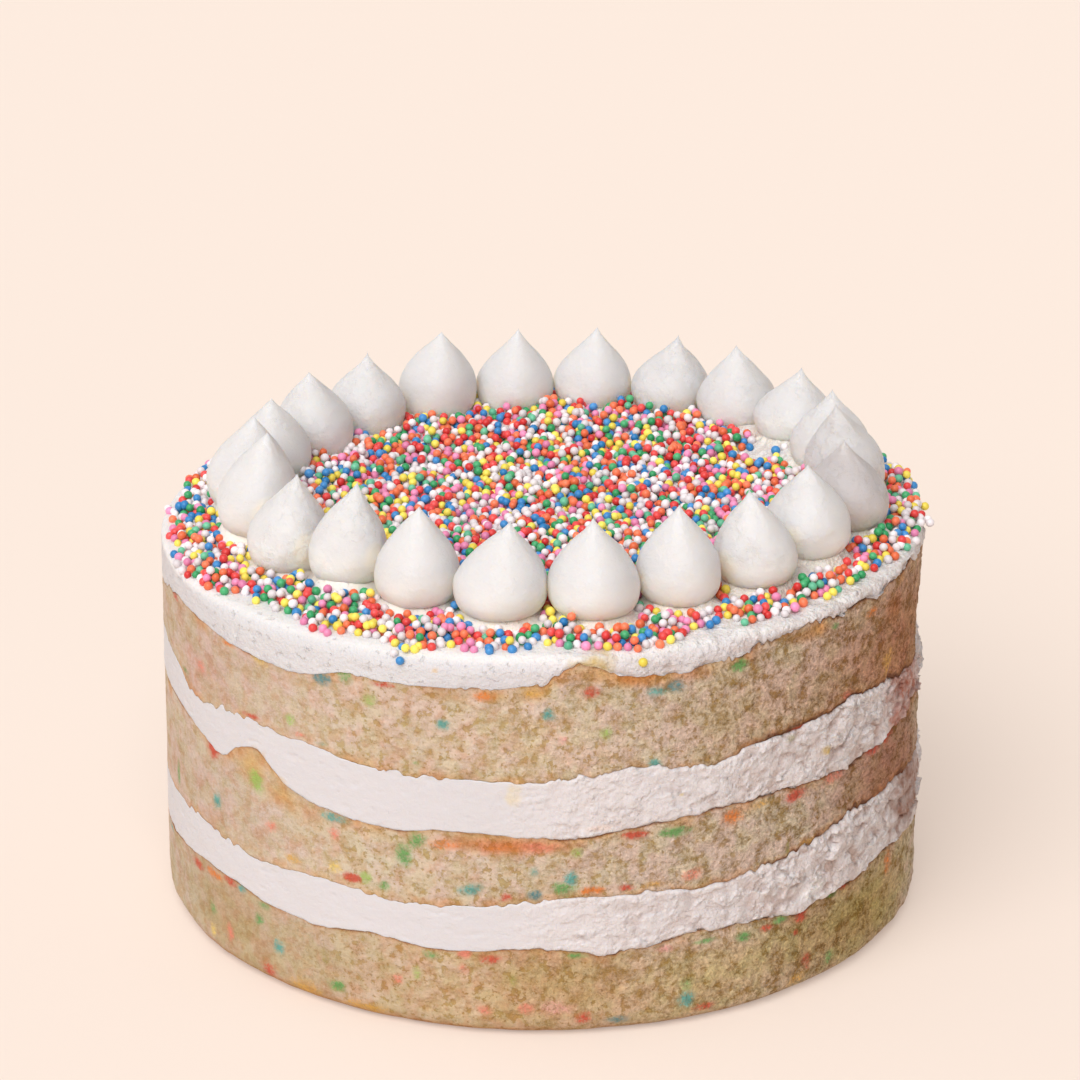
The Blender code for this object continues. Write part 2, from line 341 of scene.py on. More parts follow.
def tinted(colour, tone):
    return mixColours(1.0, colour, tone, "MULTIPLY")


def spreadOf(value, low, high, toLow=0.0, toHigh=1.0):  # a smooth step from low to high
    return addNode(value.id_data, "ShaderNodeMapRange", {"Value": value, "From Min": low, "From Max": high,
                   "To Min": toLow, "To Max": toHigh}, interpolation_type="SMOOTHSTEP").outputs["Result"]


def painted(tree, name):  # a value painted on the mesh
    return addNode(tree, "ShaderNodeAttribute", attribute_name=name).outputs["Fac"]


def paintedColour(tree, name):  # a colour painted on the mesh, and how strongly
    outputs = addNode(tree, "ShaderNodeAttribute", attribute_name=name).outputs
    return outputs["Color"], outputs["Alpha"]


def millimetres(tree):  # the object's own coordinates in millimetres
    source = addNode(tree, "ShaderNodeTexCoord").outputs["Object"]
    return addNode(tree, "ShaderNodeVectorMath", {0: source, "Scale": 1 / mm}, operation="SCALE").outputs[0]


def arrange(tree):  # lays the nodes out in columns, from the output back to the sources
    column = {node.name: 0 for node in tree.nodes}
    for _ in tree.nodes:
        for link in tree.links:
            source, target = link.from_node.name, link.to_node.name
            column[source] = max(column[source], column[target] + 1)
    filled = {}
    for node in tree.nodes:
        across = column[node.name]
        filled[across] = filled.get(across, 0) + 1
        node.location = (-220 * across, -180 * filled[across])


def newGroup(name, values, output, kind="NodeSocketFloat"):  # takes a place and named values
    group = bpy.data.node_groups.new(name, "ShaderNodeTree")
    group.interface.new_socket("Place", in_out="INPUT", socket_type="NodeSocketVector")
    for label, value in values.items():
        socket = group.interface.new_socket(label, in_out="INPUT", socket_type="NodeSocketFloat")
        socket.default_value = value
    group.interface.new_socket(output, in_out="OUTPUT", socket_type=kind)
    return group, group.nodes.new("NodeGroupInput").outputs, group.nodes.new("NodeGroupOutput").inputs


def makeStretch():  # the same stretch along the sides as in alongSides
    group, given, made = newGroup("alongSides", {}, "Place", "NodeSocketVector")
    parts = addNode(group, "ShaderNodeSeparateXYZ", {0: given["Place"]}).outputs
    factor = times(times(parts["Y"], parts["Y"]), sideStretch[1] / cake["topRadius"] ** 2, sideStretch[0])
    joined = addNode(group, "ShaderNodeCombineXYZ", {"X": parts["X"], "Y": times(parts["Y"], factor),
                                                     "Z": parts["Z"]})
    feed(made[0], joined.outputs[0])
    return group


def makePebbles():  # small rounded lumps, 0 to 1
    group, given, made = newGroup("roundPebbles", {"Size": 1.0}, "Height")
    cells = addNode(group, "ShaderNodeTexVoronoi", {"Vector": given["Place"],
                                                    "Scale": calculate("DIVIDE", 1.0, given["Size"])})
    feed(made[0], spreadOf(cells.outputs["Distance"], 0.50, 0.12))
    return group


def makeMottle():  # soft patches, 0 to 1
    group, given, made = newGroup("patchyMottle", {"Size": 1.0, "Detail": 3.0, "Low": 0.35, "High": 0.65},
                                  "Mask")
    noise = addNode(group, "ShaderNodeTexNoise", {
        "Vector": given["Place"], "Scale": calculate("DIVIDE", 1.0, given["Size"]),
        "Detail": given["Detail"], "Roughness": 0.6})
    feed(made[0], spreadOf(noise.outputs["Fac"], given["Low"], given["High"]))
    return group


def makeChips():  # small chips that each tilt their own way, as a height from about -0.5 to 0.5
    group, given, made = newGroup("tiltedChips", {"Size": 1.0}, "Height")
    scale = calculate("DIVIDE", 1.0, given["Size"])
    cells = addNode(group, "ShaderNodeTexVoronoi", {"Vector": given["Place"], "Scale": scale}).outputs
    away = addNode(group, "ShaderNodeVectorMath", {0: given["Place"], 1: cells["Position"]},
                   operation="SUBTRACT").outputs[0]
    tilt = addNode(group, "ShaderNodeVectorMath", {0: cells["Color"], 1: (0.5, 0.5, 0.5)},
                   operation="SUBTRACT").outputs[0]
    slope = addNode(group, "ShaderNodeVectorMath", {0: away, 1: tilt}, operation="DOT_PRODUCT")
    feed(made[0], times(slope.outputs["Value"], scale))
    return group


stretch, pebbles, mottle, chips = makeStretch(), makePebbles(), makeMottle(), makeChips()
for group in (stretch, pebbles, mottle, chips):
    arrange(group)


def pattern(group, place, *values):  # one of these groups, with its values in order
    node = addNode(place.id_data, "ShaderNodeGroup", {"Place": place}, node_tree=group)
    for socket, value in zip(node.inputs[1:], values):
        feed(socket, value)
    return node.outputs[0]


def masksOf(place, patterns):
    return {name: pattern(mottle, place, *values) for name, values in patterns.items()}


def newMaterial(name, values):
    material = bpy.data.materials.new(name)
    material.use_nodes = True
    shader = material.node_tree.nodes["Principled BSDF"].inputs
    for socket, value in values.items():
        feed(shader[socket], value)
    return material, material.node_tree, shader


def addBump(shader, height, strength, distance):  # distance in millimetres
    bump = addNode(height.id_data, "ShaderNodeBump", {"Height": height, "Strength": strength,
                                                      "Distance": distance * mm})
    feed(shader["Normal"], bump.outputs["Normal"])


# Sponge: tan crumb with olive-brown pores, caramel edges and dyed confetti bits, with painted shade in its
# pores and under torn cream, and painted light and shade over broad regions

spongeLook = {
    "crumb": (0.572, 0.466, 0.332),
    "pinker": (0.604, 0.454, 0.370),
    "hollow": (0.70, 0.61, 0.29),        # darkens the crevices with painted shade and the crumb's olive tone: where the side was scraped smooth
    "tornHollow": (0.52, 0.405, 0.20),   # and where it tore
    "peach": (0.93, 0.80, 0.70),         # soft stains over the smooth side
    "gapShadow": (0.15, 0.048, 0.02),        # painted shadow in the gap over torn cream, where the crust is thickest
    "crustAndShadow": (0.343, 0.142, 0.048),
    "smear": (0.634, 0.557, 0.497),      # where cream was wiped thinly over the crumb
    "smearShare": 0.35,
    "poreShare": 0.8,
    "crumbSize": 0.9,
    "veinSize": 3.2,                     # of the dark veins between the crumbs
    "bump": (0.6, 0.5),                  # strength and depth
    "shader": {"Roughness": 0.85, "Subsurface Weight": 0.08, "Subsurface Scale": 0.0008,
               "Subsurface Radius": (1.0, 0.6, 0.35), "Specular IOR Level": 0.25},
    # size, detail, and the two values of the noise between which it fades in
    "patterns": {
        "patches": (5.0, 2.0, 0.38, 0.62), "grain": (0.55, 3.0, 0.3, 0.7), "wiped": (3.4, 3.0, 0.52, 0.66),
        "blotches": (2.6, 3.0, 0.47, 0.63), "pores": (1.6, 5.0, 0.55, 0.61), "pits": (0.8, 3.0, 0.60, 0.67),
    },
}


def makeSponge():
    look = spongeLook
    material, tree, shader = newMaterial("confettiSponge", look["shader"])
    place = pattern(stretch, millimetres(tree))
    coarse = painted(tree, "coarse")
    bare = calculate("SUBTRACT", 1.0, coarse)
    masks = masksOf(place, look["patterns"])
    grain = masks["grain"]
    crumbs = pattern(chips, place, look["crumbSize"])
    colour = mixColours(masks["patches"], look["crumb"], look["pinker"])
    colour = mixColours(times(times(masks["wiped"], bare), look["smearShare"]), colour, look["smear"])
    colour = mixColours(times(masks["blotches"], bare), colour, look["peach"], "MULTIPLY")
    # Pores and the veins between the crumbs are darkened: partly the crumb's own olive tone, partly painted
    # shade in the hollows
    veins = addNode(tree, "ShaderNodeTexNoise", {"Vector": place, "Scale": 1 / look["veinSize"],
                                                 "Detail": 6.0, "Roughness": 0.84}).outputs["Fac"]
    depth = times(calculate("SUBTRACT", veins, 0.5), times(coarse, 7.6, 1.6), 0.09)
    depth = times(painted(tree, "hollow"), 0.24, depth, clamp=True)
    pitted = times(calculate("MAXIMUM", masks["pores"], masks["pits"]), look["poreShare"])
    depth = calculate("MAXIMUM", depth, times(pitted, painted(tree, "porous")))
    hollow = mixColours(coarse, look["hollow"], look["tornHollow"])
    colour = mixColours(depth, colour, tinted(colour, hollow))
    # The broad tints, which also hold painted light and shade, most of all darker on the right
    colour = tinted(colour, paintedColour(tree, "tintAndShade")[0])
    # Browned crust at the layers' edges; in the gap over torn cream it turns into a painted shadow
    edge = painted(tree, "crustAndShadow")
    crustAndShadow = mixColours(spreadOf(edge, 0.55, 0.95), look["crustAndShadow"], look["gapShadow"])
    colour = mixColours(times(edge, times(grain, 0.6, 0.55), clamp=True), colour, crustAndShadow)
    dye, dyed = paintedColour(tree, "confetti")
    colour = mixColours(spreadOf(dyed, 0.04, 0.55, 0.0, 0.34), colour, dye)
    colour = mixColours(spreadOf(times(grain, 0.6, dyed), 0.60, 1.35, 0.0, 0.85), colour, dye)
    # Lighter and darker crumbs: the grain is the crumb's own tone, while the tilt of each chip paints
    # shading onto it
    light = times(calculate("SUBTRACT", grain, 0.5), times(coarse, 0.34, 0.05), 1.0)
    light = times(crumbs, times(coarse, 0.50, 0.05), light)
    grey = addNode(tree, "ShaderNodeCombineColor", {"Red": light, "Green": light, "Blue": light})
    feed(shader["Base Color"], tinted(colour, grey.outputs["Color"]))
    height = times(times(grain, 0.6, times(crumbs, 0.9)), times(coarse, 0.8, 0.2))
    addBump(shader, times(depth, -0.6, height), *look["bump"])
    arrange(tree)
    return material


# Cream: smooth where it was scraped, pebbly where it tore

creamLook = {
    # The same cream is painted at different brightnesses by where it lies: darker on the side, lighter where
    # it tore on the shaded right, and lightest on top; these differences are painted light and shade
    "cream": (0.625, 0.594, 0.606),
    "torn": (0.735, 0.672, 0.665),    # where the cream tore: painted lighter, as it lies in shade
    "creviceShade": (0.74, 0.59, 0.52),    # painted shade in the cracks of torn cream
    "flat": (0.80, 0.765, 0.75),      # on top: painted lighter, where the light falls most
    "seat": (0.87, 0.81, 0.725),      # painted warm glow on top, close to the feet of the dollops
    "piped": (0.65, 0.635, 0.636),
    "foot": (0.90, 0.865, 0.81),      # painted brighter low on the dollops, standing in for light thrown up from below
    "warm": (0.98, 0.86, 0.64),       # painted warm glow in the seams between the dollops and low on them
    "castShade": (0.74, 0.70, 0.70),       # painted shade on the dollops that lie in the shadow of others at the right
    # size and height of what stands out where the cream tore, and where a dollop was touched
    "chunks": (2.8, 2.2), "flakes": (1.2, 0.7), "largePebbles": (2.2, 1.1), "smallPebbles": (1.0, 0.45),
    "dents": (1.7, 2.0),
    "spreadBump": (0.8, 0.55), "pipedBump": (0.5, 0.45),     # strength and depth
    "spreadPatterns": {"fine": (0.7, 3.0, 0.3, 0.7), "lumps": (2.2, 2.0, 0.3, 0.7),
                       "scratches": (1.6, 4.0, 0.60, 0.70), "strewn": (4.0, 2.0, 0.40, 0.56)},
    "pipedPatterns": {"fine": (1.1, 3.0, 0.25, 0.75), "wrinkles": (2.4, 4.0, 0.46, 0.54)},
    "spreadShader": {"Roughness": 0.5, "Subsurface Weight": 0.28, "Subsurface Scale": 0.0014,
                     "Subsurface Radius": (1.0, 0.72, 0.5), "Specular IOR Level": 0.35},
    "pipedShader": {"Roughness": 0.45, "Subsurface Weight": 0.85, "Subsurface Scale": 0.009,
                    "Subsurface Radius": (1.0, 0.8, 0.6), "Specular IOR Level": 0.35},
}


def standing(group, place, name, plus=0.0):
    size, height = creamLook[name]
    return times(pattern(group, place, size), height, plus)


def makeCream():
    look = creamLook
    material, tree, shader = newMaterial("spreadCream", look["spreadShader"])
    plain = millimetres(tree)
    rim, torn = painted(tree, "rim"), painted(tree, "torn")
    place = mixColours(rim, pattern(stretch, plain), plain)
    masks = masksOf(place, look["spreadPatterns"])
    hard = times(torn, torn)
    chipped = standing(chips, place, "flakes", times(masks["fine"], 0.4))
    chipped = times(standing(chips, place, "chunks", chipped), hard)
    lumpy = standing(pebbles, place, "largePebbles", standing(pebbles, place, "smallPebbles"))
    lumpy = times(times(lumpy, masks["strewn"]), torn)
    # The cream's brightness by where it lies, painted light and shade
    colour = mixColours(torn, look["cream"], look["torn"])
    # Painted light on top, and a painted warm glow close to the dollops' feet
    for name in ("flat", "seat"):
        colour = mixColours(painted(tree, name), colour, look[name])
    # Painted shade in the cracks of torn cream
    crackShade = times(spreadOf(chipped, 0.30, -0.25), times(hard, 0.35))
    crackShade = times(painted(tree, "hollow"), 0.6, crackShade, clamp=True)
    colour = mixColours(crackShade, colour, tinted(colour, look["creviceShade"]))
    # Stains, which also paint shade over the right side and the front-left rim
    stainAndShade, stained = paintedColour(tree, "stainAndShade")
    colour = mixColours(times(stained, times(masks["lumps"], 0.5, 0.6), clamp=True), colour, stainAndShade)
    feed(shader["Base Color"], colour)
    height = times(masks["fine"], times(rim, 0.16, 0.06), calculate("ADD", chipped, lumpy))
    height = times(masks["scratches"], times(rim, -0.45, -0.08), height)
    addBump(shader, height, *look["spreadBump"])
    arrange(tree)
    return material


def makeDollopCream():
    look = creamLook
    material, tree, shader = newMaterial("pipedCream", look["pipedShader"])
    place = millimetres(tree)
    # Painted light and shade: brighter and warmer low down and in the seams, darker where another dollop
    # shades this one
    colour = mixColours(painted(tree, "low"), look["piped"], look["foot"])
    colour = mixColours(painted(tree, "warm"), colour, look["warm"])
    colour = mixColours(painted(tree, "castShade"), colour, tinted(colour, look["castShade"]))
    feed(shader["Base Color"], colour)
    masks = masksOf(place, look["pipedPatterns"])
    worn = standing(chips, place, "dents", times(masks["wrinkles"], 1.2))
    height = times(worn, painted(tree, "handled"), times(masks["fine"], 0.5))
    addBump(shader, height, *look["pipedBump"])
    arrange(tree)
    return material


# Confetti bits baked into the sponge

dyes = {
    "red": (0.518, 0.067, 0.037),
    "coral": (0.669, 0.209, 0.142),
    "orange": (0.652, 0.184, 0.033),
    "ochre": (0.602, 0.334, 0.075),
    "yellow": (0.669, 0.485, 0.134),
    "lime": (0.301, 0.435, 0.1),
    "green": (0.109, 0.301, 0.084),
    "teal": (0.084, 0.318, 0.284),
    "sea": (0.075, 0.209, 0.226),
    "pink": (0.685, 0.334, 0.301),
    "olive": (0.301, 0.26, 0.067),
}
# Bits that the front shows, as (turn, height, dye, width, height of the bit, strength)
frontBits = (
    # upper sponge
    (-70, 69.1, "red", 2.6, 1.0, 0.9), (-60, 59.7, "coral", 2.4, 2.2, 0.7),
    (-66, 55.9, "green", 2.6, 0.8, 0.7), (-47, 55.2, "red", 3.2, 0.8, 0.9),
    (-33, 68.0, "sea", 3.0, 1.8, 1.0), (-29, 69.8, "green", 2.6, 2.4, 0.9),
    (-25, 66.0, "lime", 2.2, 1.8, 0.8), (-23, 69.4, "red", 3.8, 0.9, 0.9),
    (-39, 57.5, "lime", 1.8, 2.2, 0.7), (-14, 63.2, "teal", 1.8, 1.8, 1.0),
    (-45, 67.4, "yellow", 3.4, 1.8, 0.6), (-52, 67.8, "orange", 3.2, 0.9, 0.8),
    (-37, 55.1, "coral", 2.2, 0.8, 0.7), (-33, 54.6, "teal", 2.2, 0.8, 0.5),
    (1, 66.1, "teal", 1.6, 1.8, 1.0), (7, 70.2, "red", 2.6, 2.0, 0.9), (3, 60.7, "pink", 1.3, 1.4, 0.8),
    (9, 61.9, "lime", 1.6, 1.9, 0.9), (16, 69.2, "teal", 3.0, 1.4, 0.7), (19, 70.2, "sea", 2.4, 1.8, 1.0),
    (-8, 69.4, "orange", 3.2, 1.5, 0.8), (-1, 69.9, "ochre", 3.4, 1.2, 0.8),
    (14, 73.0, "orange", 3.6, 1.0, 0.8), (16, 54.9, "teal", 1.8, 1.6, 1.0),
    (29, 71.7, "green", 2.8, 1.7, 1.1), (47, 73.7, "green", 1.6, 0.9, 0.9),
    (56, 72.8, "orange", 2.6, 1.4, 0.9), (51, 55.7, "orange", 2.6, 1.8, 1.0),
    (50, 58.4, "coral", 3.0, 1.6, 0.7), (40, 55.4, "red", 4.0, 0.7, 0.9),
    (61, 60.5, "ochre", 3.0, 3.4, 0.7), (-18, 54.8, "green", 1.6, 0.8, 0.6),
    # middle sponge
    (-57, 43.8, "red", 3.0, 2.2, 1.2), (-46, 42.4, "lime", 2.8, 2.8, 1.1),
    (-71, 31.8, "green", 1.8, 3.6, 0.7), (-56, 33.5, "teal", 2.2, 2.2, 1.0),
    (-43, 34.0, "coral", 1.9, 1.7, 0.9), (-31, 37.1, "coral", 1.9, 1.9, 0.9),
    (-31, 40.2, "teal", 4.6, 1.4, 0.9), (-18, 39.2, "green", 2.6, 2.0, 1.0),
    (-20, 35.7, "green", 2.2, 3.2, 1.0), (-14, 38.8, "orange", 5.0, 1.6, 0.6),
    (-6, 38.9, "orange", 4.6, 1.4, 0.5), (0, 39.4, "coral", 5.4, 1.6, 0.6),
    (13, 41.0, "red", 4.4, 1.1, 1.1), (19, 40.6, "green", 3.8, 1.4, 1.1), (5, 38.1, "lime", 1.8, 1.6, 0.6),
    (-10, 30.1, "teal", 3.0, 2.0, 1.0), (-1, 34.3, "teal", 1.2, 1.6, 0.6),
    (4, 32.9, "teal", 1.8, 2.4, 1.1), (3, 30.8, "green", 3.2, 2.2, 1.0), (-1, 29.4, "sea", 1.9, 1.7, 1.0),
    (-5, 28.9, "red", 1.6, 1.2, 1.0), (7, 30.3, "orange", 3.0, 1.0, 1.1), (12, 30.5, "red", 2.0, 0.9, 1.0),
    (22, 31.3, "coral", 3.0, 1.8, 0.8), (62, 45.0, "red", 3.0, 2.6, 1.1), (73, 46.7, "red", 2.4, 1.6, 0.9),
    (57, 43.6, "red", 4.0, 1.2, 0.9), (47, 42.6, "coral", 4.6, 1.8, 0.9), (39, 42.1, "red", 3.6, 1.8, 1.2),
    (28, 41.6, "orange", 3.4, 2.4, 1.1), (33, 42.5, "ochre", 3.2, 1.2, 0.7),
    (-31, 30.1, "yellow", 2.2, 1.8, 0.9), (-28, 28.9, "red", 2.8, 1.2, 1.3),
    (-26, 29.6, "lime", 1.8, 1.8, 0.9), (-23, 28.5, "green", 1.8, 1.3, 0.9),
    (-39, 28.9, "ochre", 3.2, 1.3, 0.8), (42, 31.4, "ochre", 3.6, 1.4, 0.7),
    (38, 31.7, "olive", 0.6, 2.6, 1.0), (16, 30.4, "ochre", 2.8, 1.0, 0.8),
    # lower sponge
    (-63, 16.5, "red", 3.6, 1.6, 0.9), (-57, 17.3, "orange", 4.0, 1.2, 1.0),
    (-53, 18.0, "red", 3.2, 1.2, 1.0), (-50, 17.8, "teal", 1.8, 1.2, 0.9),
    (-45, 16.6, "green", 2.2, 1.2, 0.8), (-58, 9.8, "green", 1.8, 2.2, 0.6),
    (-46, 13.0, "green", 1.9, 2.2, 0.9), (-42, 9.0, "teal", 1.9, 2.2, 1.1),
    (-53, 7.0, "coral", 1.5, 3.4, 0.9), (-58, 4.9, "yellow", 2.0, 2.2, 0.8),
    (-44, 3.4, "red", 2.6, 2.6, 1.0), (-37, 2.6, "ochre", 5.0, 2.6, 1.0),
    (-31, 5.2, "green", 2.6, 1.6, 1.1), (-26, 2.2, "ochre", 6.4, 1.8, 1.0),
    (-21, 9.6, "coral", 1.5, 1.4, 0.8), (-16, 15.8, "green", 2.2, 1.6, 0.8),
    (-18, 11.6, "lime", 1.4, 2.8, 0.5), (-33, 10.7, "olive", 2.2, 2.6, 0.6),
    (-11, 16.9, "coral", 1.8, 1.6, 1.0), (-7, 16.2, "red", 2.8, 1.5, 1.1),
    (5, 17.0, "green", 2.4, 0.9, 0.9), (-8, 5.6, "coral", 2.2, 1.4, 0.9),
    (-2, 6.0, "coral", 2.4, 1.6, 0.8), (2, 6.2, "pink", 5.0, 2.2, 0.6), (6, 4.0, "red", 2.6, 1.6, 1.0),
    (11, 3.0, "sea", 3.0, 1.2, 1.0), (21, 5.6, "teal", 2.2, 2.4, 1.0), (21, 8.6, "green", 2.0, 2.6, 0.5),
    (24, 3.2, "red", 3.2, 1.2, 0.9), (24, 16.9, "green", 3.6, 0.8, 0.8), (18, 16.8, "pink", 2.8, 1.0, 0.8),
    (-11, 13.5, "coral", 1.6, 2.4, 0.5), (-4, 12.1, "olive", 1.2, 2.4, 0.7),
    (41, 16.6, "red", 2.2, 2.4, 1.1), (40, 13.0, "red", 1.0, 0.9, 0.9), (42, 6.5, "red", 1.8, 2.6, 0.8),
    (37, 17.0, "green", 2.6, 1.0, 1.0), (47, 18.2, "green", 2.6, 1.2, 1.0),
    (50, 18.4, "red", 1.6, 1.0, 0.9), (30, 15.8, "green", 2.0, 1.5, 1.0), (34, 16.3, "red", 2.0, 1.2, 0.9),
    (47, 4.8, "green", 2.2, 2.2, 0.7), (63, 17.0, "orange", 2.4, 3.4, 0.8),
    (40, 3.0, "ochre", 4.0, 1.8, 0.7), (75, 20.0, "red", 2.4, 1.8, 0.8),
)
# Soft washes of colour over whole regions: (turn, height, colour that multiplies, width, height, strength)
# Some brighten or darken a region to even out the light on it, as painted light and shade, most of all the
# broad dark ones at the right (turns 50 to 72), which paint shade on the side turned from the light; the
# small amber ones are browned crumb
tintsAndShade = (
    (-55, 64, (0.93, 0.90, 0.94), 40, 20, 0.9), (-55, 36, (0.92, 0.93, 0.96), 40, 16, 0.9),
    (-50, 10, (0.80, 0.80, 0.76), 64, 18, 0.9), (0, 60, (1.08, 1.08, 1.06), 26, 14, 0.8),
    (-7, 69.6, (0.95, 0.68, 0.36), 5, 2.2, 0.8), (-1, 70.2, (0.95, 0.74, 0.38), 3.5, 2.6, 0.8),
    (13, 72.4, (1.0, 0.68, 0.34), 8, 2.6, 0.9), (22, 72.0, (0.95, 0.62, 0.40), 5, 2.2, 0.8),
    (42, 74.2, (0.95, 0.68, 0.34), 9, 2.6, 0.8), (63, 70.5, (0.95, 0.62, 0.40), 6, 5.0, 0.8),
    (-14, 69.0, (0.92, 0.76, 0.60), 9, 2.0, 0.7), (30, 72.5, (0.95, 0.75, 0.6), 5, 1.8, 0.7),
    (-60, 58, (1.00, 0.90, 0.90), 16, 9, 0.9), (-62, 30, (1.00, 0.94, 0.95), 30, 14, 0.7),
    (0, 8, (0.96, 0.88, 0.70), 80, 16, 0.9), (-50, 8, (1.02, 0.99, 0.85), 30, 12, 0.5),
    (62, 10, (0.92, 0.90, 0.60), 26, 14, 0.9), (35, 12, (0.97, 0.98, 0.80), 20, 8, 0.7),
    (-24, 33, (0.96, 1.02, 1.0), 9, 7, 0.8), (72, 62, (0.88, 0.64, 0.50), 28, 24, 0.95),
    (66, 38, (0.88, 0.70, 0.64), 30, 14, 0.9), (180, 8, (0.96, 0.90, 0.74), 90, 16, 0.9),
    (-47, 44.6, (1.0, 0.80, 0.48), 6.5, 5.5, 1.0), (-41, 41.4, (1.0, 0.80, 0.50), 6, 3, 0.9),
    (-5, 39.2, (1.04, 0.58, 0.38), 18, 2.6, 0.95), (-38, 40.0, (1.0, 0.82, 0.62), 12, 3, 0.7),
    (7.5, 73.6, (0.98, 0.80, 0.50), 6, 2.8, 0.9),
    (58, 60, (0.84, 0.61, 0.49), 38, 26, 0.97), (62, 34, (0.76, 0.57, 0.49), 32, 18, 0.97),
    (50, 10, (0.74, 0.68, 0.42), 34, 18, 0.97), (2, 13, (0.88, 0.82, 0.70), 24, 22, 0.95),
    (-54, 14, (0.92, 0.86, 0.74), 18, 24, 0.95), (30, 60, (0.97, 0.90, 0.83), 20, 20, 0.9),
    (24, 7, (0.90, 0.91, 0.70), 18, 14, 0.85), (-38, 0.3, (0.90, 0.64, 0.30), 42, 3.4, 0.9),
    (-8, 0.2, (0.92, 0.68, 0.38), 26, 2.4, 0.85), (-56, 0.4, (0.88, 0.62, 0.36), 14, 2.6, 0.8),
    (140, 60, (1.0, 0.88, 0.82), 40, 16, 0.7), (230, 36, (1.0, 0.94, 0.92), 50, 14, 0.7),
)
# Browned crumb next to the cream: its colour, and how strong it is at each layer's head and at their feet
amber = (1.0, 0.76, 0.50)
amberGlow = {"spongeTop": 1.0, "spongeMiddle": 0.8, "spongeBottom": 0.45, "foot": 0.75}
randomBits = {"from": 84.0, "to": 284.0, "count": 92, "seed": 5}


def bitList():  # the bits at the front and, for the back, a seeded draw of the same kinds
    rng = np.random.default_rng(randomBits["seed"])
    found = list(frontBits)
    names = [name for name in dyes if name != "olive"]
    for _ in range(randomBits["count"]):
        turn = rng.uniform(randomBits["from"], randomBits["to"])
        column = int(turn / 360 * cake["columns"])
        layer = rng.integers(3)
        low = (0.0, layerEdges[1][0][column], layerEdges[3][0][column])[layer]
        high = (layerEdges[0][0][column], layerEdges[2][0][column], layerEdges[4][0][column])[layer]
        share = rng.choice([0.07, 0.93, rng.uniform(0.12, 0.88)], p=[0.22, 0.26, 0.52])
        flat = 1.0 if 0.1 < share < 0.9 else 0.55
        width = rng.uniform(1.4, 2.8) / flat
        found.append((turn, low + share * (high - low), names[rng.integers(len(names))], width,
                      rng.uniform(1.4, 2.4) * flat, rng.uniform(0.6, 1.1)))
    return found


def overTheSide(turn, height, atTurn, atHeight):  # sideways and upward distance from a place on the side
    along = ((turn - atTurn + 180) % 360 - 180) * math.pi / 180 * cake["topRadius"]
    return along, height - atHeight


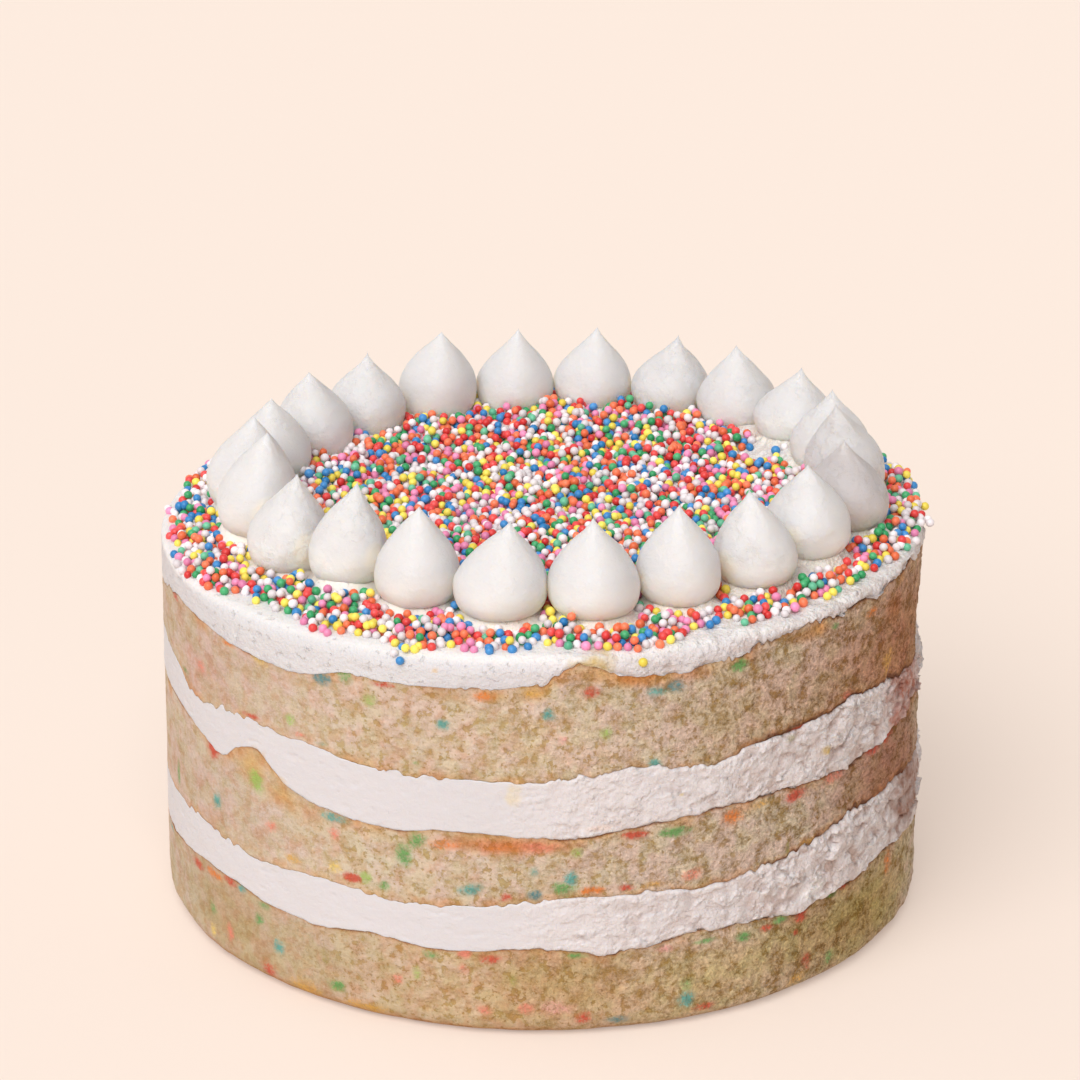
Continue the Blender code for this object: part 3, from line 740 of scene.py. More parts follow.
def paintSponge(piece, points, turn, low, high):
    height = points[:, 2]
    colours = np.zeros((len(points), 4))
    colours[:, :3] = spongeLook["crumb"]
    wobble = 0.75 * layeredNoise(points, 1.7, 3, 91)
    for atTurn, atHeight, dye, width, tall, strength in allBits:
        along, up = overTheSide(turn, height, atTurn, atHeight)
        near = (np.abs(along) < width * 1.6 + 0.8) & (np.abs(up) < tall * 1.6 + 0.8)
        if not near.any():
            continue
        far = np.sqrt((along[near] / (0.58 * width)) ** 2 + (up[near] / (0.58 * tall)) ** 2)
        mask = strength * np.exp(-0.75 * np.maximum(far + wobble[near], 0) ** 2)
        stronger = mask > colours[near, 3]
        chosen = np.flatnonzero(near)[stronger]
        colours[chosen, :3] = dyes[dye]
        colours[chosen, 3] = mask[stronger]
    paintColour(piece, "confetti", colours)
    tintAndShade = np.ones((len(points), 4))
    tintAndShade[:, 3] = 1.0
    # Broad tints; those at the right darken the side turned from the light as painted shade
    for atTurn, atHeight, tone, width, tall, strength in tintsAndShade:
        along, up = overTheSide(turn, height, atTurn, atHeight)
        share = strength * smoothStep(1.0, 0.1, np.sqrt((along / width) ** 2 + (up / tall) ** 2))
        tintAndShade[:, :3] *= 1 - share[:, None] * (1 - np.array(tone))
    for gap, run, ragged, sizes, fade, strength, seed in (
            (high - height, (3.4, 0.3), 1.3, (2.4, 6.0), (-0.25, 0.40), amberGlow[piece.name], 103),
            (height - low, (2.0, 0.2), 0.9, (2.2, 5.0), (-0.3, 0.3), amberGlow["foot"] * (low > 0.5), 107)):
        glow = strength * smoothStep(*run, gap + ragged * layeredNoise(points, sizes[0], 3, seed))
        glow *= smoothStep(*fade, layeredNoise(points * [1, 1, 0.4], sizes[1], 2, seed + 2))
        tintAndShade[:, :3] *= 1 - glow[:, None] * (1 - np.array(amber))
    paintColour(piece, "tintAndShade", tintAndShade)
    fromHead, fromFoot = high - height, height - low
    ragged = layeredNoise(points, 1.6, 2, 93)
    thickness = 0.42 + 0.45 * layeredNoise(points * [1, 1, 0.3], 4.0, 2, 95) + 0.25 * ragged
    broken = smoothStep(-0.35, 0.20, layeredNoise(points * [1, 1, 0.3], 6.0, 3, 99))
    torn = smoothStep(14, 38, signedTurn(turn))
    atHead = smoothStep(1.0, 0.15, fromHead / (0.18 + np.maximum(thickness, 0))) * (0.25 + 0.65 * broken)
    # On the torn side the line at a layer's foot grows wider and darker: a painted shadow under the
    # overhanging crumb
    atFoot = smoothStep(1.0, 0.1, fromFoot / (0.2 + (1 + 3.4 * torn) * np.maximum(thickness, 0.2)))
    atFoot *= (0.18 + 0.80 * torn) * (0.25 + 0.65 * broken + 0.2 * torn) * (low > 0.5)
    browned = smoothStep(2.2, 0.2, height) * (0.35 + 0.4 * broken) * (low < 0.5)
    paintValue(piece, "crustAndShadow", np.clip(np.maximum.reduce([atHead, atFoot, browned]), 0, 1))
    paintValue(piece, "coarse", grainShare(turn))
    side = signedTurn(turn)
    porous = 0.14 + 0.86 * smoothStep(-50, -22, side) * smoothStep(255, 225, side)
    porous *= 1 - 0.5 * smoothStep(15, 45, side) * smoothStep(240, 210, side)
    paintValue(piece, "porous", porous)


# The three sponge layers and the two fillings

layerShape = {
    "proud": (0.02, 0.30),       # how far the cream stands out over the sponge: smooth side, torn side
    "creamEdge": (-0.02, 0.40),  # how far its edges draw back
    "spongeEdge": (0.01, 0.22),
    "edgeRun": (0.35, 0.9),      # height over which an edge rounds off
    "pressed": (84, 57, 28, 22, 0.8),   # turn, height, width, height of the dent and its depth
    "baseCorner": 4.0,
    "capInset": 5.0,             # how far in the hidden faces between the layers start to sink
}


def bySide(pair, torn):  # the value for the smooth side blended into that for the torn side
    return pair[0] + (pair[1] - pair[0]) * torn


def grainShare(turn):  # how grainy the sponge is: the scraped left side is the smoothest
    turn = signedTurn(turn)
    return 0.15 + 0.85 * smoothStep(-25, 50, turn) * smoothStep(245, 210, turn)


def hollowShare(turn):
    turn = signedTurn(turn)
    return 0.12 + 0.88 * smoothStep(-50, -18, turn) * smoothStep(255, 225, turn)


def crumbHollows(points, turn):  # 0 to 1 in the crevices between the crumbs
    points = alongSides(points)
    lumps = smoothStep(0.02, 0.42, layeredNoise(points * [1, 1, 1.2], 2.6, 3, 60))
    small = smoothStep(0.10, 0.45, layeredNoise(points * [1, 1, 1.2], 1.3, 2, 63))
    region = 0.25 + 0.75 * smoothStep(-0.25, 0.25, layeredNoise(points, 8.0, 2, 67))
    return np.maximum(lumps, 0.8 * small) * region * hollowShare(turn)


def sideRelief(points, turn, kind):
    torn = tornShare(turn)
    if kind == "sponge":
        grain = grainShare(turn)
        hollows = crumbHollows(points, turn)
        points = alongSides(points)
        return ((0.25 + 0.75 * grain) * 0.24 * layeredNoise(points, 2.6, 3, 66)
                + grain * 0.20 * flakeNoise(points, 1.3, 62)
                - 0.24 * hollows + 0.12 * layeredNoise(points, 9.0, 2, 64)), hollows
    points = points if kind == "rim" else alongSides(points)
    warp = np.stack([layeredNoise(points, 2.4, 2, seed) for seed in (70, 170, 270)], axis=-1)
    warped = points + warp * 1.1
    rough = (0.74 * flakeNoise(warped * [1, 1, 1.3], 4.6, 230)
             + 0.50 * flakeNoise(warped * [1, 1, 1.2], 2.5, 330)
             + 0.12 * flakeNoise(points, 1.3, 430) + 0.30 * layeredNoise(points, 4.5, 3, 78))
    smooth = (0.10 * layeredNoise(points * [1, 1, 2.0], 7.0, 3, 80) + 0.06 * layeredNoise(points, 1.6, 2, 84)
              + 0.3 * np.minimum(layeredNoise(points * [1, 1, 1.6], 2.4, 2, 88) + 0.30, 0))
    share = torn ** 1.7
    return smooth + share * rough, share * smoothStep(-0.10, -0.50, rough)


def layerRows(low, high, step):
    count = max(4, int(round(np.max(high - low) / step)) + 1)
    return np.linspace(0.0, 1.0, count)


def buildLayer(name, node, low, high, lowRadius, highRadius, kind, looks):
    columns = cake["columns"]
    isBase = node == "sponge_bottom"
    corner = layerShape["baseCorner"]
    foot = np.zeros(columns) if isBase else low
    heights, radii = [], []
    if isBase:
        for angle in np.radians(np.arange(-90, 0, 11.25)):
            heights.append(np.full(columns, corner * (1 + math.sin(angle))))
            radii.append(lowRadius - corner * (1 - math.cos(angle)))
        low = np.full(columns, corner)
    for share in layerRows(low, high, cake["rowStep"]):
        heights.append(low + share * (high - low))
        radii.append(lowRadius + (highRadius - lowRadius) * share)
    heights, radii = np.array(heights), np.array(radii)
    rows = len(heights)
    torn = tornShare(turns)
    toEdge = high - heights if isBase else np.minimum(high - heights, heights - foot)
    roll = 1 - smoothStep(0.0, 1.0, toEdge / bySide(layerShape["edgeRun"], torn))
    if kind == "sponge":
        radii -= bySide(layerShape["spongeEdge"], torn) * roll
    else:
        proud = bySide(layerShape["proud"], torn)
        radii += proud - (proud + bySide(layerShape["creamEdge"], torn)) * roll ** 2
    points = directions[None, :, :] * radii[..., None]
    points[..., 2] = heights
    points = points.reshape(-1, 3)
    turn = np.tile(turns, rows)
    relief, hollows = sideRelief(points, turn, kind)
    if isBase:
        relief *= smoothStep(0.0, 2.5, points[:, 2])
        relief += 0.45 * layeredNoise(points * [1, 1, 0.2], 7.0, 3, 66) * smoothStep(5.0, 1.0, points[:, 2])
    atTurn, atHeight, width, tall, depth = layerShape["pressed"]
    across, up = overTheSide(turn, points[:, 2], atTurn, atHeight)
    relief -= depth * smoothStep(1.0, 0.3, np.sqrt((2 * across / width) ** 2 + (2 * up / tall) ** 2))
    points = points + np.tile(directions, (rows, 1)) * relief[:, None]
    faces = list(gridFaces(rows, columns))
    hidden = []
    for row, isHead in ((0, False), (rows - 1, True)):
        ring = np.arange(columns) + row * columns
        inner = points[ring] - directions * layerShape["capInset"]
        level = 0.0
        if isHead or not isBase:
            level = float(np.mean(inner[:, 2]))
            inner[:, 2] += -0.3 if isHead else 0.3
        innerRing = len(points) + sum(map(len, hidden)) + np.arange(columns)
        hidden += [inner, np.array([[0.0, 0.0, level]])]
        faces += list(ringBand(ring, innerRing, isHead))
        faces += list(ringFan(innerRing, innerRing[-1] + 1, isHead))
    hidden = np.concatenate(hidden)
    allPoints = np.concatenate([points, hidden])
    piece = newPiece(name, allPoints, faces, looks, node)
    lowAll = np.concatenate([np.tile(foot, rows), np.zeros(len(hidden))])
    highAll = np.concatenate([np.tile(high, rows), np.full(len(hidden), 200.0)])
    # Marks the crevices, which the materials darken with painted shade, on sponge together with the crumb's
    # olive tone
    paintValue(piece, "hollow", hollows)
    return piece, allPoints, turnOf(allPoints), lowAll, highAll


print("Making the sponge and cream materials")
allBits = bitList()
spongeLooks = makeSponge()
creamLooks = makeCream()
creamSpots = (  # (turn, height, colour, width, height of the spot, strength)
    # The two broad brown spots at the right darken the fillings, partly the cream's own brownish soiling and
    # partly painted shade on the side turned from the light; the grey ones over the front-left rim of the
    # cream on top are painted shade; the rest are stains and tints of the cream
    (70, 49.5, (0.38, 0.12, 0.07), 22.0, 18.0, 0.93), (72, 28.0, (0.27, 0.12, 0.075), 21.0, 16.0, 0.92),
    (-30, 70.0, (0.50, 0.46, 0.475), 80.0, 12.0, 0.30),
    (-35, 73.0, (0.66, 0.65, 0.65), 70.0, 12.0, 0.45),
    (7.5, 75.0, (0.61, 0.45, 0.21), 7.5, 3.6, 0.95), (-4, 49.8, (0.70, 0.58, 0.35), 3.0, 4.0, 0.5),
    (45, 49.3, (0.53, 0.36, 0.12), 2.2, 1.6, 1.0), (-46, 47.4, (0.65, 0.40, 0.18), 4.4, 3.0, 1.0),
    (-42, 44.2, (0.65, 0.44, 0.22), 5.0, 2.0, 0.8), (38, 54.2, (0.40, 0.35, 0.18), 2.2, 1.2, 0.8),
    (8, 43.0, (0.75, 0.54, 0.44), 5.0, 1.0, 0.5), (-15, 73.6, (0.66, 0.45, 0.21), 1.8, 0.8, 0.9),
    (20, 48.0, (0.65, 0.49, 0.18), 1.0, 0.8, 0.9), (43, 20.7, (0.95, 0.93, 0.92), 5.0, 3.0, 0.9),
)


def paintCream(piece, points, turn):
    colours = np.zeros((len(points), 4))
    colours[:, :3] = creamLook["warm"]
    wobble = 0.6 * layeredNoise(points, 1.8, 2, 97)
    for atTurn, atHeight, tone, width, tall, strength in creamSpots:
        along, up = overTheSide(turn, points[:, 2], atTurn, atHeight)
        far = np.sqrt((along / (width / 2)) ** 2 + (up / (tall / 2)) ** 2) + wobble
        mask = strength * smoothStep(1.5, 0.5, far)
        stronger = mask > colours[:, 3]
        colours[stronger, :3] = tone
        colours[stronger, 3] = mask[stronger]
    paintColour(piece, "stainAndShade", colours)
    paintValue(piece, "torn", tornShare(turn))


print("Building the sponge layers and fillings")
sideBounds = [(np.zeros(cake["columns"]), baseRadius + layerShape["baseCorner"])] + layerEdges
for index, (name, node, kind, slot) in enumerate((
        ("spongeBottom", "sponge_bottom", "sponge", "sponge"),
        ("creamFillingLower", "filling_lower", "cream", "cream"),
        ("spongeMiddle", "sponge_middle", "sponge", "sponge"),
        ("creamFillingUpper", "filling_upper", "cream", "cream"),
        ("spongeTop", "sponge_top", "sponge", "sponge"))):
    (low, lowRadius), (high, highRadius) = sideBounds[index], sideBounds[index + 1]
    looks = spongeLooks if kind == "sponge" else creamLooks
    if index == 0:
        lowRadius = sideBounds[1][1] + 0.1
    piece, points, turn, lowAll, highAll = buildLayer(name, node, low, high, lowRadius, highRadius,
                                                      kind, looks)
    if kind == "sponge":
        paintSponge(piece, points, turn, lowAll, highAll)
    else:
        paintCream(piece, points, turn)
        for part in ("flat", "rim", "seat"):   # only the cream on top has these
            paintValue(piece, part, [])


def readDollop(number):  # foot, radius, height and tip of a dollop's solid
    points = nodePoints(f"dollop_{number:02d}")
    low = points[:, 2].min()
    foot = points[points[:, 2] < low + 1.2]
    middle = foot[:, :2].mean(0)
    tip = points[points[:, 2].argmax()]
    width = np.ptp(points[:, 0]) / 2
    return np.array([*middle, low]), width, tip[2] - low, tip[:2] - middle


dollops = [readDollop(number) for number in range(1, 23)]
dollopShape = {
    "columns": 60,
    "rows": 48,
    "foot": 0.66,            # radius at the foot, as a share of the widest
    "raise": 0.35,
    "lower": 0.5,            # the blunt tip ends this far under the point of the solid
    "sway": (0.026, 0.036),  # how far its outline is from round: two-sided and three-sided
    "lumps": (0.26, 0.12, 0.26),   # height of broad lumps, of finer ones, and of those near the tip
    "crease": (0.24, 0.16),  # height and width of the fold near the tip
}
# For each dollop: how drawn-out its point is, how lumpy it is, the turn of its sharpest fold,
# the height of its widest ring as a share, how far its foot is raised, and how far its tip moves (right, up)
dollopHands = (
    (1.05, 0.5, 20, 0.31, 0.3, (0.4, 0.0)), (1.32, 0.4, 80, 0.26, 0.3, (0.3, 0.0)),
    (1.27, 0.5, 60, 0.25, 0.8, (0.0, 0.2)), (1.42, 0.9, 30, 0.31, 0.6, (0.3, 0.0)),
    (1.32, 0.8, 70, 0.26, 0.9, (-0.8, 0.1)), (1.48, 1.0, 60, 0.26, 2.4, (0.7, -0.1)),
    (1.42, 1.4, 80, 0.27, 1.4, (1.0, 0.1)), (1.30, 0.9, 40, 0.32, 1.5, (-1.0, 0.4)),
    (1.35, 0.9, 50, 0.30, 1.4, (-0.5, 0.2)), (1.20, 0.8, 40, 0.30, 1.6, (0.2, 0.8)),
    (1.16, 0.9, 30, 0.27, 1.0, (-0.5, 1.2)), (1.16, 0.6, 60, 0.27, 1.0, (0.0, 0.8)),
    (1.18, 0.5, 40, 0.25, 1.3, (0.0, 0.6)), (1.22, 0.6, 50, 0.25, 1.2, (0.5, 0.8)),
    (1.14, 0.5, 60, 0.26, 1.2, (0.0, 0.4)), (1.22, 0.9, 50, 0.26, 2.2, (0.4, 1.2)),
    (1.20, 1.1, 40, 0.26, 0.8, (0.3, 0.9)), (1.10, 0.6, 30, 0.27, 2.2, (0.8, 1.6)),
    (1.02, 0.7, 60, 0.27, 1.2, (0.0, 0.2)), (1.14, 1.2, 90, 0.27, 1.2, (-0.7, 0.0)),
    (1.12, 0.7, 50, 0.30, 0.4, (-0.7, 0.1)), (1.55, 0.7, 60, 0.32, 0.2, (-0.2, -0.3)),
)
dollopFeet = np.array([[foot[0], foot[1], radius * dollopShape["foot"], hand[4] + dollopShape["raise"]]
                       for (foot, radius, _, _), hand in zip(dollops, dollopHands)])


# The cream on top: a ragged foot, a rounded rim and a spread top

toppingShape = {
    "proud": (0.02, 0.10),   # smooth side, torn side
    "footEdge": (-0.02, 0.35),
    "rowStep": 0.36,
    "topRings": (18, 20),    # rings of faces: within 9 mm of the rim, and from there to fineTo
    "fineTo": 40.0,          # inside this radius the beads hide the cream, so its rings are coarse
    "innerRings": (0.86, 0.68, 0.48, 0.25),
}
ring = {"centre": (2.0, 2.7), "radius": 57.7}    # of the piped dollops
# Raised cream on top, as (x, y, half length, half width, turn of its length, height)
creamMounds = (
    (-32.5, -40.5, 5.5, 1.9, 40, 1.5), (-37.5, -35.0, 6.5, 3.0, 35, 0.8), (-46.5, -29.0, 4.0, 2.6, 60, 0.6),
    (11.5, -55.8, 5.5, 2.2, 5, 1.0), (37.0, -44.0, 4.5, 2.0, 40, 0.8), (47.5, -37.0, 5.0, 2.2, 52, 0.8),
    (47.0, 34.0, 8.5, 5.0, 120, 2.2), (51.0, 21.0, 6.0, 4.0, 105, 1.6), (-60.5, -9.5, 4.0, 2.6, 80, 0.5),
)
# Cream pressed out at the foot of a dollop, as (dollop, turn seen from it, length, width, height)
skirts = (
    (16, -20, 6.5, 2.6, 1.9), (18, -75, 5.5, 2.4, 1.8), (15, -50, 3.0, 2.0, 1.0), (13, 12, 5.0, 2.0, 0.8),
    (10, 50, 5.0, 2.4, 1.0), (9, 70, 4.0, 2.4, 0.8), (12, 40, 4.0, 2.0, 0.8),
)

bedRise = 1.3    # how much higher the beads lie against the dollops at the back
ringRise = 1.0   # height of the cream bed under the ring of dollops


def creamLevel(x, y):  # height of the cream on top, before its fine ripples
    level = topHeightAt(x)
    fromRing = np.hypot(x - ring["centre"][0], y - ring["centre"][1])
    level = level + (bedRise * smoothStep(26.0, 44.0, fromRing) * smoothStep(62.0, 56.0, fromRing)
                     * smoothStep(-10.0, 26.0, y))
    level = level + ringRise * smoothStep(46.0, 52.0, fromRing) * smoothStep(69.0, 62.0, fromRing)
    x, y = np.asarray(x, float), np.asarray(y, float)
    away = np.hypot(x[..., None] - dollopFeet[:, 0], y[..., None] - dollopFeet[:, 1]) - dollopFeet[:, 2]
    pressed = (dollopFeet[:, 3] + 0.7) * smoothStep(3.6, 0.4, away)
    level = np.maximum(level, topHeightAt(x) + pressed.max(-1))
    for atX, atY, length, width, turn, height in creamMounds:
        c, d = math.cos(math.radians(turn)), math.sin(math.radians(turn))
        along, across = (x - atX) * c + (y - atY) * d, -(x - atX) * d + (y - atY) * c
        level = level + height * np.exp(-(along / length) ** 2 - (across / width) ** 2)
    for number, turn, length, width, height in skirts:
        foot, radius = dollops[number - 1][:2]
        c, d = math.sin(math.radians(turn)), -math.cos(math.radians(turn))
        out = (x - foot[0]) * c + (y - foot[1]) * d - radius * 0.82
        across = (y - foot[1]) * c - (x - foot[0]) * d
        level = level + height * np.exp(-(across / length) ** 2 - (out / width) ** 2)
    return level


def topRelief(points, turn):  # ripples left by the palette knife
    torn = tornShare(turn)
    swirl = points.copy()
    swirl[:, 2] = 0.0
    smooth = 0.10 * layeredNoise(swirl, 8.0, 3, 110) + 0.05 * layeredNoise(swirl, 2.2, 2, 118)
    broad = terraced(layeredNoise(swirl, 5.0, 3, 112), 3.0, 0.35)
    flakes = 0.36 * flakeNoise(swirl, 2.7, 114) + 0.2 * layeredNoise(swirl, 2.4, 2, 116)
    return smooth + torn * (0.7 * broad + flakes)


def buildTopping():
    columns = cake["columns"]
    foot, footRadius = layerEdges[4]
    torn = tornShare(turns)
    rimTop = topHeightAt(directions[:, 0] * cake["topRadius"])
    rounding = np.minimum(rimRoundAt(turns), 0.8 * (rimTop - foot))
    proud = bySide(toppingShape["proud"], torn)
    outer = footRadius + proud
    heights, radii = [], []
    for share in layerRows(foot, rimTop - rounding, toppingShape["rowStep"]):
        height = foot + share * (rimTop - rounding - foot)
        roll = 1 - smoothStep(0.0, 1.2, height - foot)
        heights.append(height)
        radii.append(outer - (np.maximum(proud, 0) + bySide(toppingShape["footEdge"], torn)) * roll ** 2)
    for angle in np.radians(np.arange(10, 91, 10)):
        heights.append(rimTop - rounding * (1 - math.sin(angle)))
        radii.append(outer - rounding * (1 - math.cos(angle)))
    start = radii[-1]
    for begin, end, steps in ((start, start - 9.0, toppingShape["topRings"][0]),
                              (start - 9.0, toppingShape["fineTo"], toppingShape["topRings"][1])):
        for step in range(1, steps + 1):
            inwards = begin + (end - begin) * step / steps
            radii.append(inwards)
            heights.append(creamLevel(directions[:, 0] * inwards, directions[:, 1] * inwards))
    heights, radii = np.array(heights), np.array(radii)
    rows = len(heights)
    points = directions[None, :, :] * radii[..., None]
    points[..., 2] = heights
    points = points.reshape(-1, 3)
    turn = np.tile(turns, rows)
    up = smoothStep(rimRoundAt(turn), 0.3, topHeightAt(points[:, 0]) - points[:, 2])
    side, hollows = sideRelief(points, turn, "rim")
    side *= 1 - up ** 2
    top = topRelief(points, turn) * up ** 2
    points = points + np.tile(directions, (rows, 1)) * (side * (1 - up))[:, None]
    points[:, 2] += top + side * up
    faces = list(gridFaces(rows, columns))
    extra = []
    last = np.arange(columns) + (rows - 1) * columns
    count = columns // 4
    made = len(points)
    angle = np.arange(count) * 2 * math.pi / count
    for share in toppingShape["innerRings"]:
        inwards = made + np.arange(count)
        made += count
        at = np.stack([np.sin(angle), -np.cos(angle), 0 * angle], axis=-1) * toppingShape["fineTo"] * share
        at[:, 2] = creamLevel(at[:, 0], at[:, 1])
        extra.append(at)
        faces += thinningBand(last, inwards) if len(last) > count else list(ringBand(last, inwards, True))
        last = inwards
    extra.append(np.array([[0, 0, cake["topHeight"]]]))
    faces += list(ringFan(last, made, True))
    made += 1
    footRing = np.arange(columns)
    inner = points[footRing] - directions * layerShape["capInset"]
    inner[:, 2] = np.minimum(inner[:, 2] + 0.3, rimTop - 0.6)
    innerRing = made + np.arange(columns)
    extra += [inner, np.array([[0, 0, float(np.mean(inner[:, 2]))]])]
    faces += list(ringBand(footRing, innerRing, False))
    faces += list(ringFan(innerRing, innerRing[-1] + 1, False))
    allPoints = np.concatenate([points, *extra])
    piece = newPiece("creamTop", allPoints, faces, creamLooks, "topping")
    paintCream(piece, allPoints, turnOf(allPoints))
    below = topHeightAt(allPoints[:, 0]) - allPoints[:, 2]
    # Painted light on the top, where the light falls most
    paintValue(piece, "flat", smoothStep(1.6, 0.4, below))
    paintValue(piece, "rim", np.ones(len(allPoints)))
    away = np.hypot(allPoints[:, None, 0] - dollopFeet[:, 0], allPoints[:, None, 1] - dollopFeet[:, 1])
    nearest = (away - dollopFeet[:, 2]).min(1)
    # Painted warm glow on the cream close to the dollops' feet
    paintValue(piece, "seat", smoothStep(5.5, 0.5, nearest) * smoothStep(1.2, 0.2, below))
    # The cracks, which the material darkens with painted shade
    paintValue(piece, "hollow", hollows * (1 - up))


print("Spreading the cream on top")
buildTopping()


# Piped dollops, each in the place, size and lean of its solid

# How strongly painted shade darkens a dollop that lies in the shadow of another
shadedDollops = {8: 0.3, 9: 0.9}
widerDollops = {13: 1.03, 14: 1.05, 15: 1.01, 16: 0.96}    # and wider than its solid
# Pits and lumps, as (dollop, turn on it, share of its height, width, depth; a lump is negative)
dollopMarks = (
    (11, 38, 0.34, 2.2, 0.45), (11, 12, 0.30, 1.6, 0.35), (11, 28, 0.42, 1.4, 0.3),
    (9, 62, 0.52, 1.8, 0.5), (9, 78, 0.36, 1.6, 0.4), (9, 66, 0.46, 1.6, -0.35),
    (10, 30, 0.30, 3.2, 0.35), (21, 70, 0.52, 0.9, 0.35), (21, 20, 0.4, 0.8, 0.25),
    (3, 5, 0.50, 1.0, 0.25), (2, 60, 0.62, 1.0, 0.3), (14, -10, 0.12, 1.8, 0.2),
    (17, 10, 0.88, 1.8, -0.4), (17, 40, 0.76, 1.6, 0.35), (16, 35, 0.70, 1.4, 0.3), (20, 40, 0.14, 2.4, 0.4),
)


def dollopRadius(share, point, widest):
    run = (1.0 - share) / (1.0 - widest)
    upper = np.sin(np.pi / 2 * np.clip(run, 0, 1)) ** point
    below = 1.0 - share / widest
    lower = dollopShape["foot"] + (1 - dollopShape["foot"]) * np.sqrt(np.clip(1.0 - below ** 2, 0, 1))
    return np.where(share >= widest, upper, lower)


def buildDollop(number, looks):
    foot, radius, height, lean = dollops[number - 1]
    point, lumpy, foldTurn, widest, raised, shift = dollopHands[number - 1]
    radius *= widerDollops.get(number, 1.0)
    raised += dollopShape["raise"]
    foot = foot + [0, 0, raised]
    height += shift[1] - dollopShape["lower"] - raised
    lean = lean + [shift[0], 0]
    columns, rows = dollopShape["columns"], dollopShape["rows"]
    shares = np.linspace(0.0, 1.0, rows + 1)[:-1] ** 0.92
    angle = np.arange(columns) * 2 * math.pi / columns
    share, theta = np.meshgrid(shares, angle, indexing="ij")
    width = radius * dollopRadius(share, point, widest)
    local = np.stack([np.sin(theta) * width, -np.cos(theta) * width, share * height], axis=-1)
    upper = smoothStep(0.35, 0.95, share)
    fold = np.radians(foldTurn)
    ridge = np.radians(14 + 7 * math.sin(number * 2.4))
    flank = smoothStep(0.10, 0.35, share) * smoothStep(1.0, 0.7, share)
    twoSided, threeSided = dollopShape["sway"]
    width = width * (1 + twoSided * np.cos(2 * (theta - fold)) * (0.4 + upper)
                     + threeSided * np.cos(3 * (theta - ridge)) * flank)
    noisy = local + [37.0 * number, 11.0 * number, 5.0 * number]
    broad, fine, atTip = dollopShape["lumps"]
    lumps = (broad * layeredNoise(noisy, 6.0, 2, 130) + fine * layeredNoise(noisy, 3.0, 2, 135)
             + lumpy * atTip * upper * layeredNoise(noisy, 2.2, 2, 140))
    creaseHeight, creaseWidth = dollopShape["crease"]
    crease = np.exp(-((((theta - fold + math.pi) % (2 * math.pi)) - math.pi) / creaseWidth) ** 2)
    lumps += creaseHeight * lumpy * crease * smoothStep(0.55, 0.8, share) * smoothStep(1.0, 0.88, share)
    for turn, atShare, size, depth in (mark[1:] for mark in dollopMarks if mark[0] == number):
        spot = math.radians(turn)
        out = radius * float(dollopRadius(np.array(atShare), point, widest))
        at = np.array([math.sin(spot), -math.cos(spot)]) * out
        far = np.sqrt((local[..., 0] - at[0]) ** 2 + (local[..., 1] - at[1]) ** 2
                      + (local[..., 2] - atShare * height) ** 2)
        lumps -= depth * smoothStep(size / 2, 0.0, far)
    width = np.maximum(width + lumps * np.minimum(1.0, width / 2.0), 0.02)
    local[..., 0] = np.sin(theta) * width
    local[..., 1] = -np.cos(theta) * width
    local[..., :2] += lean * (share ** 2)[..., None]
    slope = cake["topRise"] / cake["topRadius"]
    local[..., 2] += slope * local[..., 0] * (1 - share)
    points = local.reshape(-1, 3) + foot
    faces = list(gridFaces(rows, columns))
    tip = len(points)
    points = np.concatenate([points, [[foot[0] + lean[0], foot[1] + lean[1], foot[2] + height]],
                             [[foot[0], foot[1], foot[2]]]])
    faces += list(ringFan(np.arange(columns) + (rows - 1) * columns, tip, True))
    faces += list(ringFan(np.arange(columns), tip + 1, False))
    piece = newPiece(f"pipedDollop{number:02d}", points, faces, looks, f"dollop_{number:02d}")
    rise = (points[:, 2] - foot[2]) / height
    # Painted light: brighter low down, and a warm glow low down and where the dollop meets its neighbours
    paintValue(piece, "low", smoothStep(0.46, 0.04, rise))
    warm = 0.45 * smoothStep(0.22, 0.0, rise)
    ringAngle = math.atan2(foot[1] - ring["centre"][1], foot[0] - ring["centre"][0])
    offset = points - foot
    sideways = offset[:, 1] * math.cos(ringAngle) - offset[:, 0] * math.sin(ringAngle)
    warm += 0.4 * smoothStep(0.92, 1.0, np.abs(sideways) / radius)
    warm *= 0.75 + 0.4 * layeredNoise(points, 6.0, 2, 150)
    paintValue(piece, "warm", np.clip(warm, 0, 0.9))
    handled = smoothStep(0.5, 0.9, lumpy) * smoothStep(-0.3, 0.3, layeredNoise(points, 5.0, 2, 160))
    paintValue(piece, "handled", handled)
    # Painted shade where another dollop shades this one
    paintValue(piece, "castShade", np.full(len(points), shadedDollops.get(number, 0.0)))


print("Piping the dollops")
dollopLooks = makeDollopCream()
for number in range(1, 23):
    buildDollop(number, dollopLooks)


# Sugar beads, dropped one by one so that each lies on the cream or in the hollow between others

